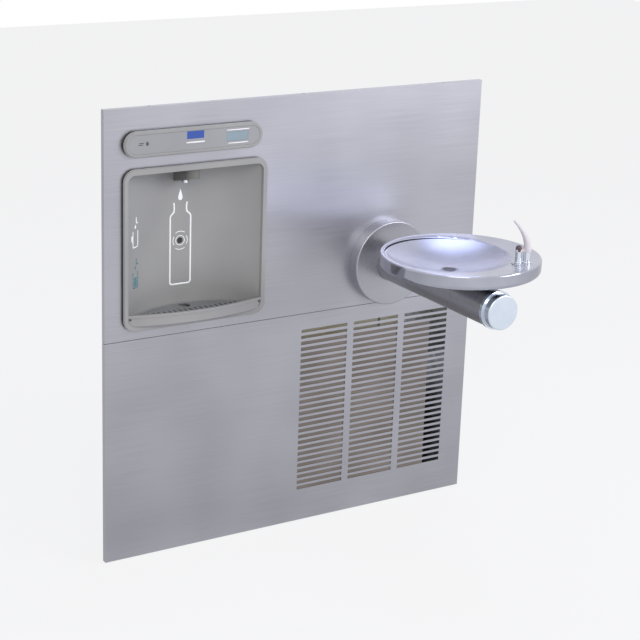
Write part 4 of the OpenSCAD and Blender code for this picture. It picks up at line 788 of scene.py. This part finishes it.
def sign(name, low, ink_material, filled):
    left, right = sign_x - jar_half, sign_x + jar_half
    jar = [(left, low + jar_high), (left, low + jar_corner), (left + jar_corner, low),
           (right - jar_corner, low), (right, low + jar_corner), (right, low + jar_high)]
    tap = [(sign_x + 3, low + 62), (sign_x + 3, low + 50), (sign_x + 9, low + 50)]
    parts = [stroke("jar", jar, jar_line), stroke("tap", tap, tap_line),
             drop("bead", sign_x, low + 41, 2.2, 9)]
    if filled:
        for i in range(4):
            level = low + 5 + 5 * i
            wave = [(sign_x + d, level + 0.8 * math.sin(d + i)) for d in range(-5, 6)]
            parts.append(stroke("wave", wave, wave_line))
    else:
        palm = [(left - 1, low + 12), (left - 4, low + 18), (left - 3, low + 26)]
        parts.append(stroke("palm", palm, palm_line))
    film(joined(name, parts), ink_material, "frame", on="bay_shell")


sign("upper_sign", bay_low.z + 167.5, white_ink, False)
sign("lower_sign", bay_low.z + 81.5, teal_ink, True)

# %% [markdown]
# ## Prints on the control bar
# The face plate carries a blue colour field, a small dark sign at the left, and thin white rules
# over and under the display. They are flat, so they are laid at the plate's own depth.
# A plane of one millimetre is stretched to the field's width and height, and its corners are
# rounded by a bevel on the vertices.

# %% Colour field
plate_low, plate_high = [corner * 1000 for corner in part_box("face_plate")]
plate_x, plate_z = (plate_low.x + plate_high.x) / 2, (plate_low.z + plate_high.z) / 2
plate_lift = 0.06
plate_mm = plate_low.y - plate_lift


def field(name, low, high, corner_mm):
    bpy.ops.object.select_all(action="DESELECT")
    bpy.ops.mesh.primitive_plane_add(size=0.001, rotation=(math.radians(90), 0, 0),
                                     location=((low[0] + high[0]) / 2 / 1000, 0,
                                               (low[1] + high[1]) / 2 / 1000))
    piece = bpy.context.object
    piece.name = name
    piece.scale = (high[0] - low[0], high[1] - low[1], 1)
    settle(piece)
    edit(piece)
    bpy.ops.mesh.bevel(offset=corner_mm / 1000, segments=3, affect="VERTICES")
    close_edit()
    return piece


blue = field("blue_field", (plate_x - 18.9, plate_z + 3.2), (plate_x + 19.5, plate_z + 18.8), 0.6)
film(blue, blue_ink, "frame", depth_mm=plate_mm)

# %% [markdown]
# The rules and the small sign are strokes. Each row below holds a stroke's two ends and its height
# from the middle of the plate, and the width of its line.

# %% Rules and small sign
rule_rows = ((71.5, 123.5, 14.0, 2.0), (75.5, 121.5, -13.0, 2.0), (-20.5, 21.5, -4.0, 2.6))
dash_rows = ((-126.5, -116.5, -0.5, 1.6), (-124.5, -114.5, 3.0, 1.6))


def level_strokes(name, rows):
    return [stroke(name, [(plate_x + left, plate_z + z), (plate_x + right, plate_z + z)], wide)
            for left, right, z, wide in rows]


rules = joined("white_rules", level_strokes("rule", rule_rows))
film(rules, white_ink, "frame", depth_mm=plate_mm)
bead = drop("bead", plate_x - 107, plate_z + 0.5, 3.2, 9)
small_sign = joined("small_sign", level_strokes("dash", dash_rows) + [bead])
film(small_sign, grey_ink, "frame", depth_mm=plate_mm)

# %% [markdown]
# ## Bubbler guard
# The white mouth guard is soft silicone, moulded in one piece: a collar over the posts, a bridge
# between them and a finger that leans over the dish. A swept curve would give the finger but leave
# a seam at the collar. Here a short cylinder is the collar, and its top face is drawn out ring by
# ring, each moved along the lean and made narrower, so that collar and finger are one shape.

# %% Collar and finger
def middle_of(name):
    low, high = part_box(name)
    return (low + high) / 2


main_post, second_post = middle_of("bubbler_nut"), middle_of("bubbler_nozzle")
main_post.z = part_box("bubbler_spout")[0].z
collar_r, collar_deep, collar_top = 0.0086, 0.008, 0.001
finger_high, finger_lean, finger_rings = 0.056, 0.030, 10
finger_root_r, finger_tip_r, finger_taper = 0.0078, 0.0034, 1.2
lean_turn = math.radians(137)
lean = Vector((math.cos(lean_turn), math.sin(lean_turn), 0))
facing_up = 0.9


def finger_at(s):
    return main_post + lean * finger_lean * s * s + Vector((0, 0, finger_high * s))


bpy.ops.object.select_all(action="DESELECT")
collar_middle = main_post + Vector((0, 0, collar_top - collar_deep / 2))
bpy.ops.mesh.primitive_cylinder_add(vertices=24, radius=collar_r, depth=collar_deep,
                                    location=collar_middle)
guard = bpy.context.object
guard.name = "bubbler_guard"
settle(guard)
edit_some(guard, guard.data.polygons, lambda face: face.normal.z > facing_up)
here, wide = main_post + Vector((0, 0, collar_top)), collar_r
for i in range(1, finger_rings + 1):
    share = i / finger_rings
    there = finger_at(share)
    narrower = finger_root_r - (finger_root_r - finger_tip_r) * share ** finger_taper
    bpy.ops.mesh.extrude_region_move(TRANSFORM_OT_translate={"value": there - here})
    bpy.ops.transform.resize(value=(narrower / wide,) * 3, center_override=there)
    here, wide = there, narrower
close_edit()
print("finger tip at", [round(v, 4) for v in here])

# %% [markdown]
# The bridge is a block with round edges, turned along the line from post to post. A voxel remesh
# melts the two shapes into one skin, and a few rounds of smoothing leave the soft hollows that
# silicone has where a mould's cavities meet.

# %% Bridge, and one skin over all
along = second_post - main_post
along.z = 0
bridge_past, bridge_wide, bridge_high, bridge_drop = 0.013, 0.012, 0.007, 0.004
bridge_round, voxel = 0.0025, 0.0007
bridge_middle = main_post + along / 2 - Vector((0, 0, bridge_drop))
bpy.ops.object.select_all(action="DESELECT")
bpy.ops.mesh.primitive_cube_add(size=1, location=bridge_middle,
                                rotation=(0, 0, math.atan2(along.y, along.x)))
bridge = bpy.context.object
bridge.scale = (along.length + bridge_past, bridge_wide, bridge_high)
settle(bridge)
edit(bridge)
bpy.ops.mesh.bevel(offset=bridge_round, segments=3, affect="EDGES")
close_edit()
guard = joined("bubbler_guard", [guard, bridge])
melt = guard.modifiers.new("melt", "REMESH")
melt.mode = "VOXEL"
melt.voxel_size = voxel
calm = guard.modifiers.new("calm", "SMOOTH")
calm.factor = 0.6
calm.iterations = 12
apply_modifiers(guard)
bpy.ops.object.shade_smooth()
give(guard, white_rubber)
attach(guard, "frame")
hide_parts("bubbler_spout")
print("bubbler guard", len(guard.data.polygons), "faces")
